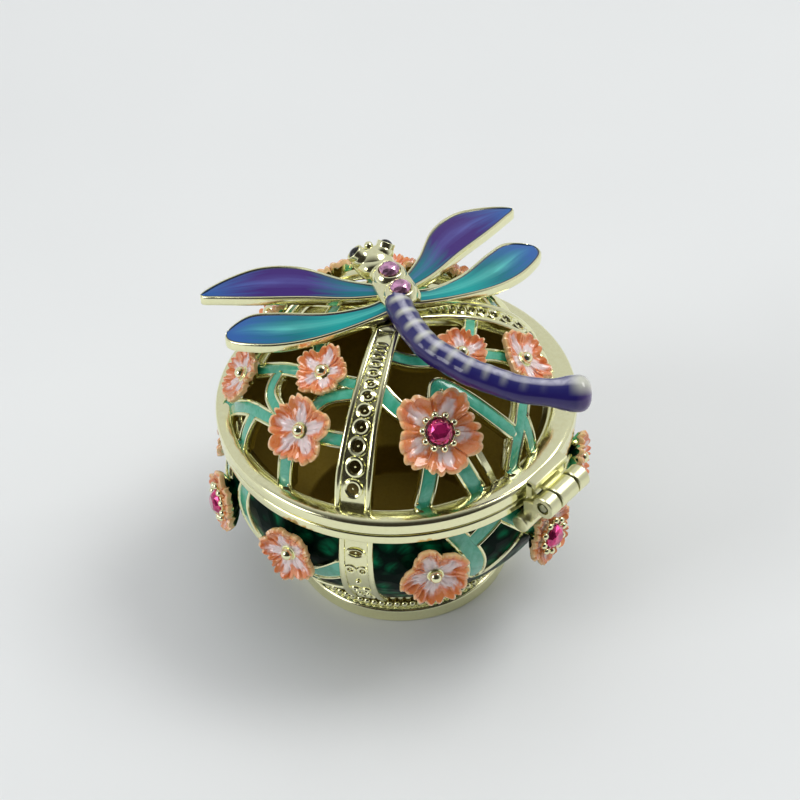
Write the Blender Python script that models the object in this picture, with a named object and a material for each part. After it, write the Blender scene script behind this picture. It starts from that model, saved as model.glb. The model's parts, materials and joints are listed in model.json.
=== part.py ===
"""Enamel trinket box: an openwork domed lid with a dragonfly on it, hinged on a round footed cup.

The origin is the middle of the foot's flat underside, +Z is up and the hinge is at +Y.
Azimuths are in degrees round the box, from +X towards +Y.
"""

import math

import bmesh
import bpy
from mathutils import Matrix, Vector

MM = 0.001

# Rims and seam
SEAM_HEIGHT = 26.0 * MM
SEAM_GAP = 0.3 * MM
LID_RADIUS = 24.0 * MM
LID_BAND = 2.1 * MM
LID_OVERHANG = 0.2 * MM
BASE_BAND = 1.6 * MM
EDGE_ROUNDING = 0.5 * MM
FIT_GAP = 0.3 * MM

# Domed openwork of the lid
RING_WIDTH = 3.0 * MM
RING_STEP = 0.2 * MM
DOME_RISE = 15.0 * MM
DOME_FOOT_ABOVE_SEAM = 1.0 * MM
CAGE_DEPTH = 1.0 * MM
HOLE_SHIFT_X = 0.55 * MM
HOLE_SHIFT_Y = -0.35 * MM
CROWN_PLATE_RADIUS = 3.4 * MM
CROWN_PLATE_BELOW = 0.3 * MM
RIB_RAISED = 0.7 * MM
VINE_WIDTH = 2.0 * MM
VINE_RAISED = 0.5 * MM

# Cup and foot
FOOT_RADIUS = 14.8 * MM
FOOT_BAND = 2.0 * MM
FOOT_GROOVE = 0.4 * MM
BEAD_ROW_HEIGHT = 1.5 * MM
BEAD_ROW_RADIUS = 14.9 * MM
BEAD_ROUNDNESS = 0.7 * MM
RIM_OVERHANG = 0.6 * MM
BOWL_FULLNESS = 0.85
BOWL_WIDEST_AT = 0.75
BOWL_WALL = 1.2 * MM
FLOOR_THICKNESS = 1.8 * MM
BASE_RIB_RAISED = 0.5 * MM
BASE_SINK = 0.7 * MM

# Ribs, at equal steps round the box
RIB_COUNT = 3
FIRST_RIB_AZIMUTH = 26.0
RIB_FOOT_WIDTH = 4.8 * MM
RIB_CROWN_WIDTH = 3.4 * MM
BASE_RIB_WIDTH = 4.6 * MM

# Flowers
FLOWER_DIAMETER = 10.0 * MM
PETAL_COUNT = 5
PETAL_THICKNESS = 0.8 * MM
LID_FLOWER_LIFT = 0.2 * MM
CUP_FLOWER_LIFT = 0.8 * MM
CUP_STONE_FLOWER_LIFT = 1.0 * MM
CUP_FLOWER_LEAN = 4.0
PETAL_CURL = 0.8 * MM

# Stones
FLOWER_STONE_DIAMETER = 3.3 * MM
THORAX_STONE_DIAMETER = 2.7 * MM
EYE_STONE_DIAMETER = 1.7 * MM
STONE_DEPTH_SHARE = 0.55
SEAT_WALL = 0.35 * MM

# Hinge
HINGE_AXIS_BEHIND_RIM = 3.4 * MM
HINGE_AXIS_ABOVE_SEAM = 1.0 * MM
KNUCKLE_RADIUS = 1.6 * MM
PIN_RADIUS = 0.6 * MM
BARREL_LENGTH = 8.0 * MM
MIDDLE_KNUCKLE = 3.4 * MM
LEAF_THICKNESS = 0.9 * MM
LID_LEAF_LENGTH = 6.8 * MM
SOLDER_BAR_RADIUS = 1.25 * MM
SOLDER_BAR_LENGTH = 9.6 * MM
WEB_SETBACK = 0.2 * MM
PIN_CHAMFER = 0.1 * MM

# Dragonfly
BODY_AZIMUTH = -118.5
BODY_X = -2.2 * MM
BODY_Y = -1.2 * MM
BELLY_GAP = 0.3 * MM
THORAX_WIDTH = 5.4 * MM
THORAX_HEIGHT = 2.8 * MM
WING_SPAN = 24.0 * MM
WING_THICKNESS = 1.4 * MM
WING_ROOT_ABOVE_BELLY = 0.35 * MM
WING_DROOP = 4.3 * MM
RIGHT_WING_DROOP = 4.7 * MM
TAIL_SEGMENTS = 12
TAIL_RADIUS = 1.8 * MM
TAIL_TIP_RADIUS = 2.35 * MM

LATHE_STEPS = 30
KNUCKLE_STEPS = 12
STONE_STEPS = 8
SHARP_ANGLE = 35.0

GOLD = ((0.80, 0.74, 0.48, 1.0), 0.18, 1.0)
MAGENTA = ((0.62, 0.02, 0.16, 1.0), 0.05, 0.0)
PINK = ((0.62, 0.22, 0.48, 1.0), 0.05, 0.0)
BLACK = ((0.01, 0.01, 0.012, 1.0), 0.08, 0.0)


# Places on the lid and the cup

def dome_radius():
    return LID_RADIUS - RING_WIDTH


def crown_height():
    return SEAM_HEIGHT + DOME_FOOT_ABOVE_SEAM + DOME_RISE


def base_rim_radius():
    return LID_RADIUS - LID_OVERHANG


def bowl_widest():
    return base_rim_radius() - RIM_OVERHANG


def azimuth_direction(azimuth):
    angle = math.radians(azimuth)
    return Vector((math.cos(angle), math.sin(angle), 0.0))


def lid_place(azimuth, share):
    """Point and outward normal on the dome; share is 0 at the crown and 1 at the ring."""
    tilt = math.radians(90.0 * share)
    out = azimuth_direction(azimuth)
    reach = math.sin(tilt)
    rise = math.cos(tilt)
    point = out * (dome_radius() * reach) + Vector((HOLE_SHIFT_X, HOLE_SHIFT_Y, 0.0)) * reach
    point.z = SEAM_HEIGHT + DOME_FOOT_ABOVE_SEAM + DOME_RISE * rise
    normal = (out * (reach / dome_radius()) + Vector((0.0, 0.0, rise / DOME_RISE))).normalized()
    return point, normal


def bowl_neck_height():
    return FOOT_BAND + FOOT_GROOVE + 2.0 * BEAD_ROW_HEIGHT


def shoulder_height():
    return SEAM_HEIGHT - BASE_BAND


def bowl_radius(height):
    """The bowl swells quickly above its foot and draws in a little under the rim."""
    low = bowl_neck_height()
    share = (height - low) / (shoulder_height() - low)
    share = min(1.0, max(0.0, share))
    swell = math.sin(0.5 * math.pi * share / BOWL_WIDEST_AT) ** BOWL_FULLNESS
    return BEAD_ROW_RADIUS + (bowl_widest() - BEAD_ROW_RADIUS) * swell


def cup_place(azimuth, share):
    """Point and outward normal on the bowl; share is 0 at the foot and 1 under the rim."""
    low = bowl_neck_height()
    height = low + (shoulder_height() - low) * share
    step = 0.02 * (shoulder_height() - low)
    slope = (bowl_radius(height + step) - bowl_radius(height - step)) / (2.0 * step)
    out = azimuth_direction(azimuth)
    point = out * bowl_radius(height)
    point.z = height
    normal = (out - Vector((0.0, 0.0, slope))).normalized()
    return point, normal


# Mesh tools

def gold():
    material = bpy.data.materials.get("pale gold plating")
    if material is None:
        material = plain_material("pale gold plating", GOLD)
    return material


def plain_material(name, look):
    material = bpy.data.materials.new(name)
    material.use_nodes = True
    shader = material.node_tree.nodes["Principled BSDF"]
    shader.inputs["Base Color"].default_value = look[0]
    shader.inputs["Roughness"].default_value = look[1]
    shader.inputs["Metallic"].default_value = look[2]
    return material


def object_from(name, points, faces, material):
    mesh = bpy.data.meshes.new(name)
    mesh.from_pydata([tuple(point) for point in points], [], faces)
    work = bmesh.new()
    work.from_mesh(mesh)
    bmesh.ops.triangulate(work, faces=work.faces[:])
    bmesh.ops.recalc_face_normals(work, faces=work.faces[:])
    work.to_mesh(mesh)
    work.free()
    mesh.materials.append(material)
    mesh.shade_smooth()
    mesh.set_sharp_from_angle(angle=math.radians(SHARP_ANGLE))
    shape = bpy.data.objects.new(name, mesh)
    bpy.context.scene.collection.objects.link(shape)
    return shape


def lofted(name, rings, material):
    """A closed body through rings of points, all with the same count, capped at both ends."""
    count = len(rings[0])
    points = [point for ring in rings for point in ring]
    faces = []
    for row in range(len(rings) - 1):
        for place in range(count):
            after = (place + 1) % count
            low = row * count
            high = low + count
            faces.append((low + place, low + after, high + after, high + place))
    start = (len(rings) - 1) * count
    faces.append(tuple(range(count - 1, -1, -1)))
    faces.append(tuple(range(start, start + count)))
    return object_from(name, points, faces, material)


def turned(name, profile, steps, material, frame=None):
    """A body turned about Z; a profile that ends on the axis at both ends closes there."""
    frame = frame or Matrix.Identity(4)
    on_axis = profile[0][0] == 0.0 and profile[-1][0] == 0.0
    inner = profile[1:-1] if on_axis else profile
    points = []
    for radius, height, shift in inner:
        for place in range(steps):
            angle = 2.0 * math.pi * place / steps
            x = radius * math.cos(angle) + HOLE_SHIFT_X * shift
            y = radius * math.sin(angle) + HOLE_SHIFT_Y * shift
            points.append(frame @ Vector((x, y, height)))
    faces = []
    rows = len(inner)
    last_row = rows - 1 if on_axis else rows
    for row in range(last_row):
        low = row * steps
        high = ((row + 1) % rows) * steps
        for place in range(steps):
            after = (place + 1) % steps
            faces.append((low + place, low + after, high + after, high + place))
    if on_axis:
        first = len(points)
        points.append(frame @ Vector((0.0, 0.0, profile[0][1])))
        points.append(frame @ Vector((0.0, 0.0, profile[-1][1])))
        top = (rows - 1) * steps
        for place in range(steps):
            after = (place + 1) % steps
            faces.append((first, after, place))
            faces.append((first + 1, top + place, top + after))
    return object_from(name, points, faces, material)


def plain_profile(pairs):
    return [(radius, height, 0.0) for radius, height in pairs]


def united(name, parts, material):
    """One casting from overlapping bodies."""
    group = bpy.data.collections.new(name + " pieces")
    bpy.context.scene.collection.children.link(group)
    body = parts[0]
    for part in parts[1:]:
        group.objects.link(part)
    joined = body.modifiers.new("casting", "BOOLEAN")
    joined.operation = "UNION"
    joined.operand_type = "COLLECTION"
    joined.collection = group
    joined.solver = "EXACT"
    bpy.context.view_layer.update()
    graph = bpy.context.evaluated_depsgraph_get()
    mesh = bpy.data.meshes.new_from_object(body.evaluated_get(graph))
    mesh.name = name
    for part in parts:
        bpy.data.objects.remove(part)
    bpy.data.collections.remove(group)
    mesh.materials.clear()
    mesh.materials.append(material)
    mesh.shade_smooth()
    mesh.set_sharp_from_angle(angle=math.radians(SHARP_ANGLE))
    shape = bpy.data.objects.new(name, mesh)
    bpy.context.scene.collection.objects.link(shape)
    return shape


def smooth_path(corners, steps):
    """Points of a Catmull-Rom curve through the corners."""
    if len(corners) == 2:
        corners = [corners[0], midpoint(corners[0], corners[1]), corners[1]]
    path = []
    last = len(corners) - 1
    for index in range(last):
        before = corners[max(0, index - 1)]
        start = corners[index]
        end = corners[index + 1]
        after = corners[min(last, index + 2)]
        for step in range(steps):
            t = step / steps
            path.append(tuple(curve_value(before[k], start[k], end[k], after[k], t)
                              for k in range(len(start))))
    path.append(tuple(corners[-1]))
    return path


def midpoint(first, second):
    return tuple(0.5 * (a + b) for a, b in zip(first, second))


def curve_value(a, b, c, d, t):
    return 0.5 * (2.0 * b + (c - a) * t + (2.0 * a - 5.0 * b + 4.0 * c - d) * t * t
                  + (3.0 * b - a - 3.0 * c + d) * t * t * t)


def strip(name, place_on, corners, section):
    """A band laid along a surface; section gives its outline from a width at each point."""
    path = smooth_path(corners, 2 if len(corners) > 2 else 1)
    places = [place_on(point[0], point[1]) for point in path]
    rings = []
    for index, (point, normal) in enumerate(places):
        ahead = places[min(index + 1, len(places) - 1)][0]
        behind = places[max(index - 1, 0)][0]
        along = (ahead - behind).normalized()
        across = normal.cross(along).normalized()
        rings.append([point + across * side + normal * lift for side, lift in section(path[index][2])])
    return lofted(name, rings, gold())


def flat_section(low, high):
    def outline(width):
        half = 0.5 * width
        crest = half - min(0.3 * half, high)
        return [(-half, low), (half, low), (crest, high), (-crest, high)]
    return outline


def frame_on(point, normal, turn=0.0):
    """A frame at the point with +Z along the normal, +X level, turned about the normal."""
    side = Vector((0.0, 0.0, 1.0)).cross(normal)
    if side.length < 1e-6:
        side = Vector((1.0, 0.0, 0.0))
    side.normalize()
    up = normal.cross(side)
    axes = Matrix((side, up, normal)).transposed().to_4x4()
    return Matrix.Translation(point) @ axes @ Matrix.Rotation(math.radians(turn), 4, "Z")


# Flowers and stones

PETAL_LOBES = ((0.82, 0.55), (1.0, 1.0), (0.98, 0.75))


def flower_rim(radius):
    """Reach and curl of the ruffled edge, each petal with two lobes and a notch."""
    steps = PETAL_COUNT * len(PETAL_LOBES)
    rim = []
    for place in range(steps):
        reach, curl = PETAL_LOBES[place % len(PETAL_LOBES)]
        rim.append((2.0 * math.pi * place / steps, radius * reach, PETAL_CURL * curl))
    return rim


def petals(name, frame, diameter, lift):
    """A cupped flower: the ruffled rim stands over its middle and tapers to a stalk below."""
    rim = flower_rim(0.5 * diameter)
    count = len(rim)
    points = []
    for height in (lift + PETAL_THICKNESS, lift):
        for angle, reach, curl in rim:
            points.append(frame @ Vector((reach * math.cos(angle), reach * math.sin(angle), height + curl)))
    middle = len(points)
    points.append(frame @ Vector((0.0, 0.0, lift + 0.5 * PETAL_THICKNESS)))
    points.append(frame @ Vector((0.0, 0.0, -CAGE_DEPTH)))
    faces = []
    for place in range(count):
        after = (place + 1) % count
        faces.append((place, place + count, after + count, after))
        faces.append((middle, place, after))
        faces.append((middle + 1, after + count, place + count))
    return object_from(name, points, faces, gold())


def seat_floor(lift):
    return lift + 0.5 * PETAL_THICKNESS


def stone_seat(name, frame, diameter, floor):
    """A cup of metal round a stone, open above."""
    outer = 0.5 * diameter + FIT_GAP + SEAT_WALL
    inner = 0.5 * diameter + FIT_GAP
    top = floor + FIT_GAP + 0.5 * STONE_DEPTH_SHARE * diameter
    profile = ((0.0, floor - 2.0 * SEAT_WALL), (outer, floor - 2.0 * SEAT_WALL), (outer, top), (inner, top),
               (inner, floor), (0.0, floor))
    return turned(name, plain_profile(profile), STONE_STEPS, gold(), frame)


def stone(name, frame, diameter, floor, look):
    """A brilliant: pavilion, girdle and crown under a flat table."""
    radius = 0.5 * diameter
    depth = STONE_DEPTH_SHARE * diameter
    low = floor + FIT_GAP
    profile = ((0.0, low), (radius, low + 0.5 * depth), (radius, low + 0.6 * depth),
               (0.62 * radius, low + depth), (0.0, low + depth))
    material = plain_material(name + " glass", look)
    return turned(name, plain_profile(profile), STONE_STEPS, material, frame)


def flower_parts(frame, diameter, centre, lift):
    parts = [petals("petals", frame, diameter, lift)]
    if centre == "stone":
        parts.append(stone_seat("seat", frame, FLOWER_STONE_DIAMETER, seat_floor(lift)))
    return parts


# Lid

# Name, azimuth, share of the way down the dome, diameter in flower diameters, turn and middle
LID_FLOWERS = (
    ("big", 60.0, 0.58, 1.2, 18.0, "stone"),
    ("small", 0.0, 0.63, 0.94, 0.0, "ball"),
    ("right", 122.0, 0.60, 0.88, 30.0, "ball"),
    ("under tail", 97.0, 0.33, 0.76, 10.0, "ball"),
    ("under wing", -8.0, 0.37, 0.76, 0.0, "ball"),
    ("left", -46.0, 0.70, 0.86, 20.0, "ball"),
    ("back left", -78.0, 0.62, 0.84, 40.0, "ball"),
    ("back", 178.0, 0.56, 0.88, 0.0, "ball"),
    ("behind head", 222.0, 0.40, 0.8, 0.0, "ball"),
    ("back right", 243.0, 0.70, 0.88, 0.0, "ball"),
)

# Azimuth, share of the way down and width in vine widths at each corner
LID_VINES = (
    ((-50.0, 1.02, 1.1), (-30.0, 0.74, 1.1), (0.0, 0.63, 1.0)),
    ((-3.0, 0.63, 1.0), (-24.0, 0.60, 1.0), (-31.0, 0.50, 1.0)),
    ((-26.0, 0.70, 1.0), (-27.0, 1.02, 1.0)),
    ((-3.0, 0.66, 1.2), (0.0, 1.03, 1.2)),
    ((3.0, 0.62, 1.1), (24.0, 0.60, 1.1)),
    ((-2.0, 0.58, 1.0), (4.0, 0.45, 1.0), (22.0, 0.38, 1.0)),
    ((-8.0, 0.37, 1.0), (22.0, 0.35, 1.0)),
    ((-9.0, 0.36, 1.0), (-50.0, 0.26, 1.0), (-90.0, 0.24, 1.0)),
    ((-48.0, 0.66, 1.0), (-66.0, 0.50, 1.0), (-92.0, 0.48, 1.0)),
    ((-48.0, 0.72, 1.1), (-60.0, 1.02, 1.1)),
    ((-77.0, 0.66, 1.1), (-74.0, 1.02, 1.1)),
    ((-9.0, 0.38, 1.0), (-30.0, 0.48, 1.0), (-46.0, 0.66, 1.0)),
    ((30.0, 0.34, 1.2), (40.0, 0.42, 1.2), (58.0, 0.56, 1.2)),
    ((28.0, 0.18, 1.0), (52.0, 0.23, 1.0), (97.0, 0.32, 1.0)),
    ((60.0, 0.52, 1.0), (69.0, 0.38, 1.0), (81.0, 0.50, 1.1), (93.0, 0.78, 1.1)),
    ((84.0, 1.02, 1.2), (91.0, 0.83, 1.2), (105.0, 0.69, 1.2), (121.0, 0.61, 1.1)),
    ((100.0, 0.72, 1.1), (98.0, 1.02, 1.1)),
    ((57.0, 0.62, 1.2), (48.5, 1.02, 1.2)),
    ((63.0, 0.62, 1.3), (72.5, 1.02, 1.3)),
    ((73.0, 0.66, 0.5), (79.0, 1.02, 0.5)),
    ((98.0, 0.33, 1.0), (112.0, 0.44, 1.0), (121.0, 0.58, 1.0)),
    ((98.0, 0.32, 1.0), (128.0, 0.32, 1.0), (148.0, 0.34, 1.0)),
    ((123.0, 0.62, 1.1), (136.0, 0.80, 1.1), (134.0, 1.02, 1.1)),
    ((147.0, 0.50, 1.1), (178.0, 0.55, 1.1)),
    ((176.0, 0.58, 1.2), (168.0, 1.02, 1.2)),
    ((180.0, 0.54, 1.0), (200.0, 0.44, 1.0), (222.0, 0.40, 1.0)),
    ((222.0, 0.38, 1.0), (240.0, 0.24, 1.0), (266.0, 0.16, 1.0)),
    ((223.0, 0.42, 1.0), (236.0, 0.56, 1.0), (243.0, 0.68, 1.0)),
    ((181.0, 0.58, 1.0), (206.0, 0.68, 1.0), (216.0, 1.02, 1.0)),
    ((149.0, 0.22, 1.0), (196.0, 0.24, 1.0), (221.0, 0.37, 1.0)),
    ((242.0, 0.72, 1.2), (238.0, 1.02, 1.2)),
    ((244.0, 0.69, 1.1), (267.0, 0.64, 1.1)),
)


def rib_azimuth(index):
    return FIRST_RIB_AZIMUTH + 360.0 * index / RIB_COUNT


def lid_ring():
    low = SEAM_HEIGHT + SEAM_GAP
    top = low + LID_BAND
    foot = dome_radius() + RING_STEP
    profile = (
        (dome_radius() - CAGE_DEPTH, low, 1.0),
        (LID_RADIUS - 0.3 * EDGE_ROUNDING, low, 0.0),
        (LID_RADIUS, top - EDGE_ROUNDING, 0.0),
        (LID_RADIUS - EDGE_ROUNDING, top, 0.0),
        (foot, top, 1.0),
        (dome_radius() - CAGE_DEPTH, top - 0.6 * LID_BAND, 1.0),
    )
    return turned("ring", profile, LATHE_STEPS + LATHE_STEPS // 8, gold())


def lid_rib(index):
    azimuth = rib_azimuth(index)
    ends = [(azimuth, 1.02, RIB_FOOT_WIDTH), (azimuth, 0.75, RIB_FOOT_WIDTH),
            (azimuth, 0.4, 0.5 * (RIB_FOOT_WIDTH + RIB_CROWN_WIDTH)), (azimuth, 0.04, RIB_CROWN_WIDTH)]
    return strip("rib", lid_place, ends, flat_section(-CAGE_DEPTH, RIB_RAISED))


def crown_plate():
    low = crown_height() - CAGE_DEPTH - CROWN_PLATE_BELOW
    top = crown_height() + RIB_RAISED
    profile = ((0.0, low), (CROWN_PLATE_RADIUS, low), (CROWN_PLATE_RADIUS, top - 0.5 * RIB_RAISED),
               (0.8 * CROWN_PLATE_RADIUS, top), (0.0, top))
    return turned("crown", plain_profile(profile), 20, gold())


def lid_flower_frame(azimuth, share, turn):
    point, normal = lid_place(azimuth, share)
    return frame_on(point, normal, turn)


def lid_cage():
    parts = [lid_ring(), crown_plate()]
    for index in range(RIB_COUNT):
        parts.append(lid_rib(index))
    section = flat_section(-CAGE_DEPTH, VINE_RAISED)
    for corners in LID_VINES:
        sized = [(azimuth, share, width * VINE_WIDTH) for azimuth, share, width in corners]
        parts.append(strip("vine", lid_place, sized, section))
    for flower, azimuth, share, diameter, turn, centre in LID_FLOWERS:
        frame = lid_flower_frame(azimuth, share, turn)
        parts.extend(flower_parts(frame, diameter * FLOWER_DIAMETER, centre, LID_FLOWER_LIFT))
    return united("lid_cage", parts, gold())


def lid_stones():
    stones = []
    for flower, azimuth, share, diameter, turn, centre in LID_FLOWERS:
        if centre == "stone":
            frame = lid_flower_frame(azimuth, share, turn)
            stones.append(stone("lid_flower_stone", frame, FLOWER_STONE_DIAMETER,
                                seat_floor(LID_FLOWER_LIFT), MAGENTA))
    return stones


# Cup

# Name, azimuth, share of the way up the bowl, diameter in flower diameters, turn and middle
CUP_FLOWERS = (
    ("front", 50.6, 0.71, 0.96, 0.0, "ball"),
    ("right", 93.0, 0.57, 0.9, 0.0, "stone"),
    ("far right", 121.0, 0.74, 0.76, 30.0, "ball"),
    ("front left", 4.2, 0.74, 0.88, 10.0, "ball"),
    ("left", -31.5, 0.62, 0.9, 0.0, "stone"),
    ("hidden left", -68.0, 0.56, 0.9, 20.0, "ball"),
    ("back", 172.0, 0.60, 0.9, 0.0, "ball"),
    ("back middle", 208.0, 0.66, 0.9, 30.0, "ball"),
    ("back right", 243.0, 0.56, 0.9, 0.0, "ball"),
)


def cup_shell():
    low = bowl_neck_height()
    shoulder = shoulder_height()
    groove_foot = FOOT_BAND + FOOT_GROOVE
    waist = BEAD_ROW_RADIUS - BEAD_ROUNDNESS
    outer = [(0.0, 0.0), (FOOT_RADIUS, 0.0), (FOOT_RADIUS, FOOT_BAND), (waist, groove_foot)]
    for row in range(2):
        foot = groove_foot + row * BEAD_ROW_HEIGHT
        outer.append((BEAD_ROW_RADIUS, foot + 0.5 * BEAD_ROW_HEIGHT))
        outer.append((waist, foot + BEAD_ROW_HEIGHT))
    for share in (0.02, 0.14, 0.3, 0.5, 0.75, 1.0):
        height = low + (shoulder - low) * share
        outer.append((bowl_radius(height), height))
    rim = base_rim_radius()
    outer += [(rim - EDGE_ROUNDING, shoulder), (rim, shoulder + 0.7 * EDGE_ROUNDING),
              (rim, SEAM_HEIGHT - EDGE_ROUNDING), (rim - EDGE_ROUNDING, SEAM_HEIGHT)]
    mouth = bowl_radius(shoulder) - BOWL_WALL
    inner = [(mouth, SEAM_HEIGHT), (mouth, shoulder)]
    for share in (0.76, 0.5, 0.26, 0.12):
        point, normal = cup_place(0.0, share)
        inner.append((point.x - BOWL_WALL * normal.x, point.z - BOWL_WALL * normal.z))
    inner += [(waist - BOWL_WALL, low + 0.8 * BOWL_WALL),
              (waist - BOWL_WALL - 0.5 * FLOOR_THICKNESS, FLOOR_THICKNESS), (0.0, FLOOR_THICKNESS)]
    return turned("shell", plain_profile(outer + inner), LATHE_STEPS, gold())


def cup_rib(index):
    azimuth = rib_azimuth(index)
    ends = [(azimuth, share, BASE_RIB_WIDTH) for share in (0.10, 0.4, 0.75, 1.02)]
    return strip("rib", cup_place, ends, flat_section(-BASE_SINK, BASE_RIB_RAISED))


def cup_flower_frame(azimuth, share, turn):
    """The flowers on the cup look straight out and a little up."""
    point, slope = cup_place(azimuth, share)
    lean = Vector((0.0, 0.0, math.tan(math.radians(CUP_FLOWER_LEAN))))
    return frame_on(point, (azimuth_direction(azimuth) + lean).normalized(), turn)


def cup_flower_lift(centre):
    return CUP_STONE_FLOWER_LIFT if centre == "stone" else CUP_FLOWER_LIFT


def base_cup():
    parts = [cup_shell()]
    for index in range(RIB_COUNT):
        parts.append(cup_rib(index))
    for flower, azimuth, share, diameter, turn, centre in CUP_FLOWERS:
        frame = cup_flower_frame(azimuth, share, turn)
        parts.extend(flower_parts(frame, diameter * FLOWER_DIAMETER, centre, cup_flower_lift(centre)))
    return united("base_cup", parts, gold())


def cup_stones():
    stones = []
    for flower, azimuth, share, diameter, turn, centre in CUP_FLOWERS:
        if centre == "stone":
            frame = cup_flower_frame(azimuth, share, turn)
            name = "base_flower_stone_" + flower
            floor = seat_floor(cup_flower_lift(centre))
            stones.append(stone(name, frame, FLOWER_STONE_DIAMETER, floor, MAGENTA))
    return stones


# Hinge

def hinge_y():
    return LID_RADIUS + HINGE_AXIS_BEHIND_RIM


def hinge_z():
    return SEAM_HEIGHT + HINGE_AXIS_ABOVE_SEAM


def along_x(x):
    """A frame on the hinge axis with its own Z along +X."""
    return Matrix.Translation((x, hinge_y(), hinge_z())) @ Matrix.Rotation(math.radians(90.0), 4, "Y")


def knuckle(name, start, end):
    bore = PIN_RADIUS + FIT_GAP
    profile = ((bore, 0.0), (KNUCKLE_RADIUS, 0.0), (KNUCKLE_RADIUS, end - start), (bore, end - start))
    return turned(name, plain_profile(profile), KNUCKLE_STEPS, gold(), along_x(start))


def block(name, outline, start, end):
    """An outline in the Y-Z plane, drawn out from start to end along X."""
    rings = [[Vector((x, y, z)) for y, z in outline] for x in (start, end)]
    return lofted(name, rings, gold())


def knuckle_ends():
    half = 0.5 * BARREL_LENGTH
    middle = 0.5 * MIDDLE_KNUCKLE
    return ((-half, -middle - FIT_GAP), (-middle, middle), (middle + FIT_GAP, half))


def hinge_lid_leaf():
    """A folded strip: a flange on the ring's side, a flat top before the barrel and the middle knuckle."""
    y = hinge_y()
    z = hinge_z()
    inner = LID_RADIUS + FIT_GAP
    low = z + KNUCKLE_RADIUS + FIT_GAP
    top = low + LEAF_THICKNESS
    outer = y - KNUCKLE_RADIUS
    half = 0.5 * LID_LEAF_LENGTH
    flange_foot = SEAM_HEIGHT + 3.0 * SEAM_GAP
    inner_face = inner + LEAF_THICKNESS
    folded = ((inner, flange_foot), (inner_face, flange_foot), (inner_face, low), (outer, low),
              (outer, top), (inner, top))
    roof = block("roof", folded, -half, half)
    start, end = knuckle_ends()[1]
    reach = y - PIN_RADIUS - 1.5 * FIT_GAP
    root = inner_face - 0.5 * LEAF_THICKNESS
    lower = z + PIN_RADIUS
    upper = z + 0.85 * KNUCKLE_RADIUS
    tongue = block("tongue", ((root, lower), (reach, lower), (reach, upper), (root, upper)), start, end)
    return united("hinge_lid_leaf", [roof, tongue, knuckle("knuckle", start, end)], gold())


def hinge_base_leaf():
    y = hinge_y()
    z = hinge_z()
    inner = LID_RADIUS + FIT_GAP
    bar_z = shoulder_height() - FIT_GAP - SOLDER_BAR_RADIUS
    half = 0.5 * SOLDER_BAR_LENGTH
    bar_frame = Matrix.Translation((-half, inner, bar_z)) @ Matrix.Rotation(math.radians(90.0), 4, "Y")
    bar_profile = ((0.0, 0.0), (SOLDER_BAR_RADIUS, 0.0), (SOLDER_BAR_RADIUS, SOLDER_BAR_LENGTH),
                   (0.0, SOLDER_BAR_LENGTH))
    parts = [turned("bar", plain_profile(bar_profile), KNUCKLE_STEPS, gold(), bar_frame)]
    web = ((inner, bar_z), (inner, z - SEAM_GAP - WEB_SETBACK),
           (y - PIN_RADIUS - FIT_GAP - 0.5 * WEB_SETBACK, z - WEB_SETBACK),
           (y - 0.5 * KNUCKLE_RADIUS, z - 0.82 * KNUCKLE_RADIUS),
           (inner + SOLDER_BAR_RADIUS - WEB_SETBACK, bar_z))
    for start, end in (knuckle_ends()[0], knuckle_ends()[2]):
        parts.append(knuckle("knuckle", start, end))
        parts.append(block("web", web, start, end))
    return united("hinge_base_leaf", parts, gold())


def hinge_pin():
    end = PIN_RADIUS - PIN_CHAMFER
    profile = ((0.0, 0.0), (end, 0.0), (PIN_RADIUS, PIN_CHAMFER), (PIN_RADIUS, BARREL_LENGTH - PIN_CHAMFER),
               (end, BARREL_LENGTH), (0.0, BARREL_LENGTH))
    return turned("hinge_pin", plain_profile(profile), KNUCKLE_STEPS, gold(), along_x(-0.5 * BARREL_LENGTH))


# Dragonfly

def belly_height():
    return crown_height() + RIB_RAISED + BELLY_GAP


def body_point(ahead, left, height):
    """A point from distances ahead of the thorax, to its left, and above its belly."""
    forward = azimuth_direction(BODY_AZIMUTH)
    side = azimuth_direction(BODY_AZIMUTH + 90.0)
    point = Vector((BODY_X, BODY_Y, 0.0)) + forward * ahead + side * left
    point.z = belly_height() + height
    return point


# Ahead and left in mm, then half width as a share of the thorax's width, and its lowest
# and highest points as shares of the thorax's height
BODY_STATIONS = (
    (-3.2, 0.0, 0.39, 0.03, 0.88),
    (-2.4, 0.0, 0.48, 0.00, 0.97),
    (0.0, 0.0, 0.50, 0.00, 1.00),
    (2.2, 0.0, 0.46, 0.00, 0.97),
    (3.2, 0.1, 0.31, 0.06, 0.82),
    (4.2, 0.2, 0.30, 0.03, 0.76),
    (5.0, 0.3, 0.41, -0.15, 0.88),
    (6.4, 0.4, 0.46, -0.27, 0.94),
    (8.0, 0.5, 0.46, -0.24, 0.91),
    (9.0, 0.5, 0.33, -0.09, 0.73),
)


def body_section(ahead, left, half_width, low, high):
    ring = []
    middle = 0.5 * (low + high)
    half_height = 0.5 * (high - low)
    steps = 12
    for place in range(steps):
        angle = 2.0 * math.pi * (place + 0.5) / steps
        side = math.copysign(abs(math.cos(angle)) ** 0.7, math.cos(angle)) * half_width
        rise = math.copysign(abs(math.sin(angle)) ** 0.7, math.sin(angle)) * half_height
        ring.append(body_point(ahead, left + side, middle + rise))
    return ring


def body_and_head():
    rings = []
    for ahead, left, half_width, low, high in BODY_STATIONS:
        rings.append(body_section(ahead * MM, left * MM, half_width * THORAX_WIDTH, low * THORAX_HEIGHT,
                                  high * THORAX_HEIGHT))
    return lofted("body", rings, gold())


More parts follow.
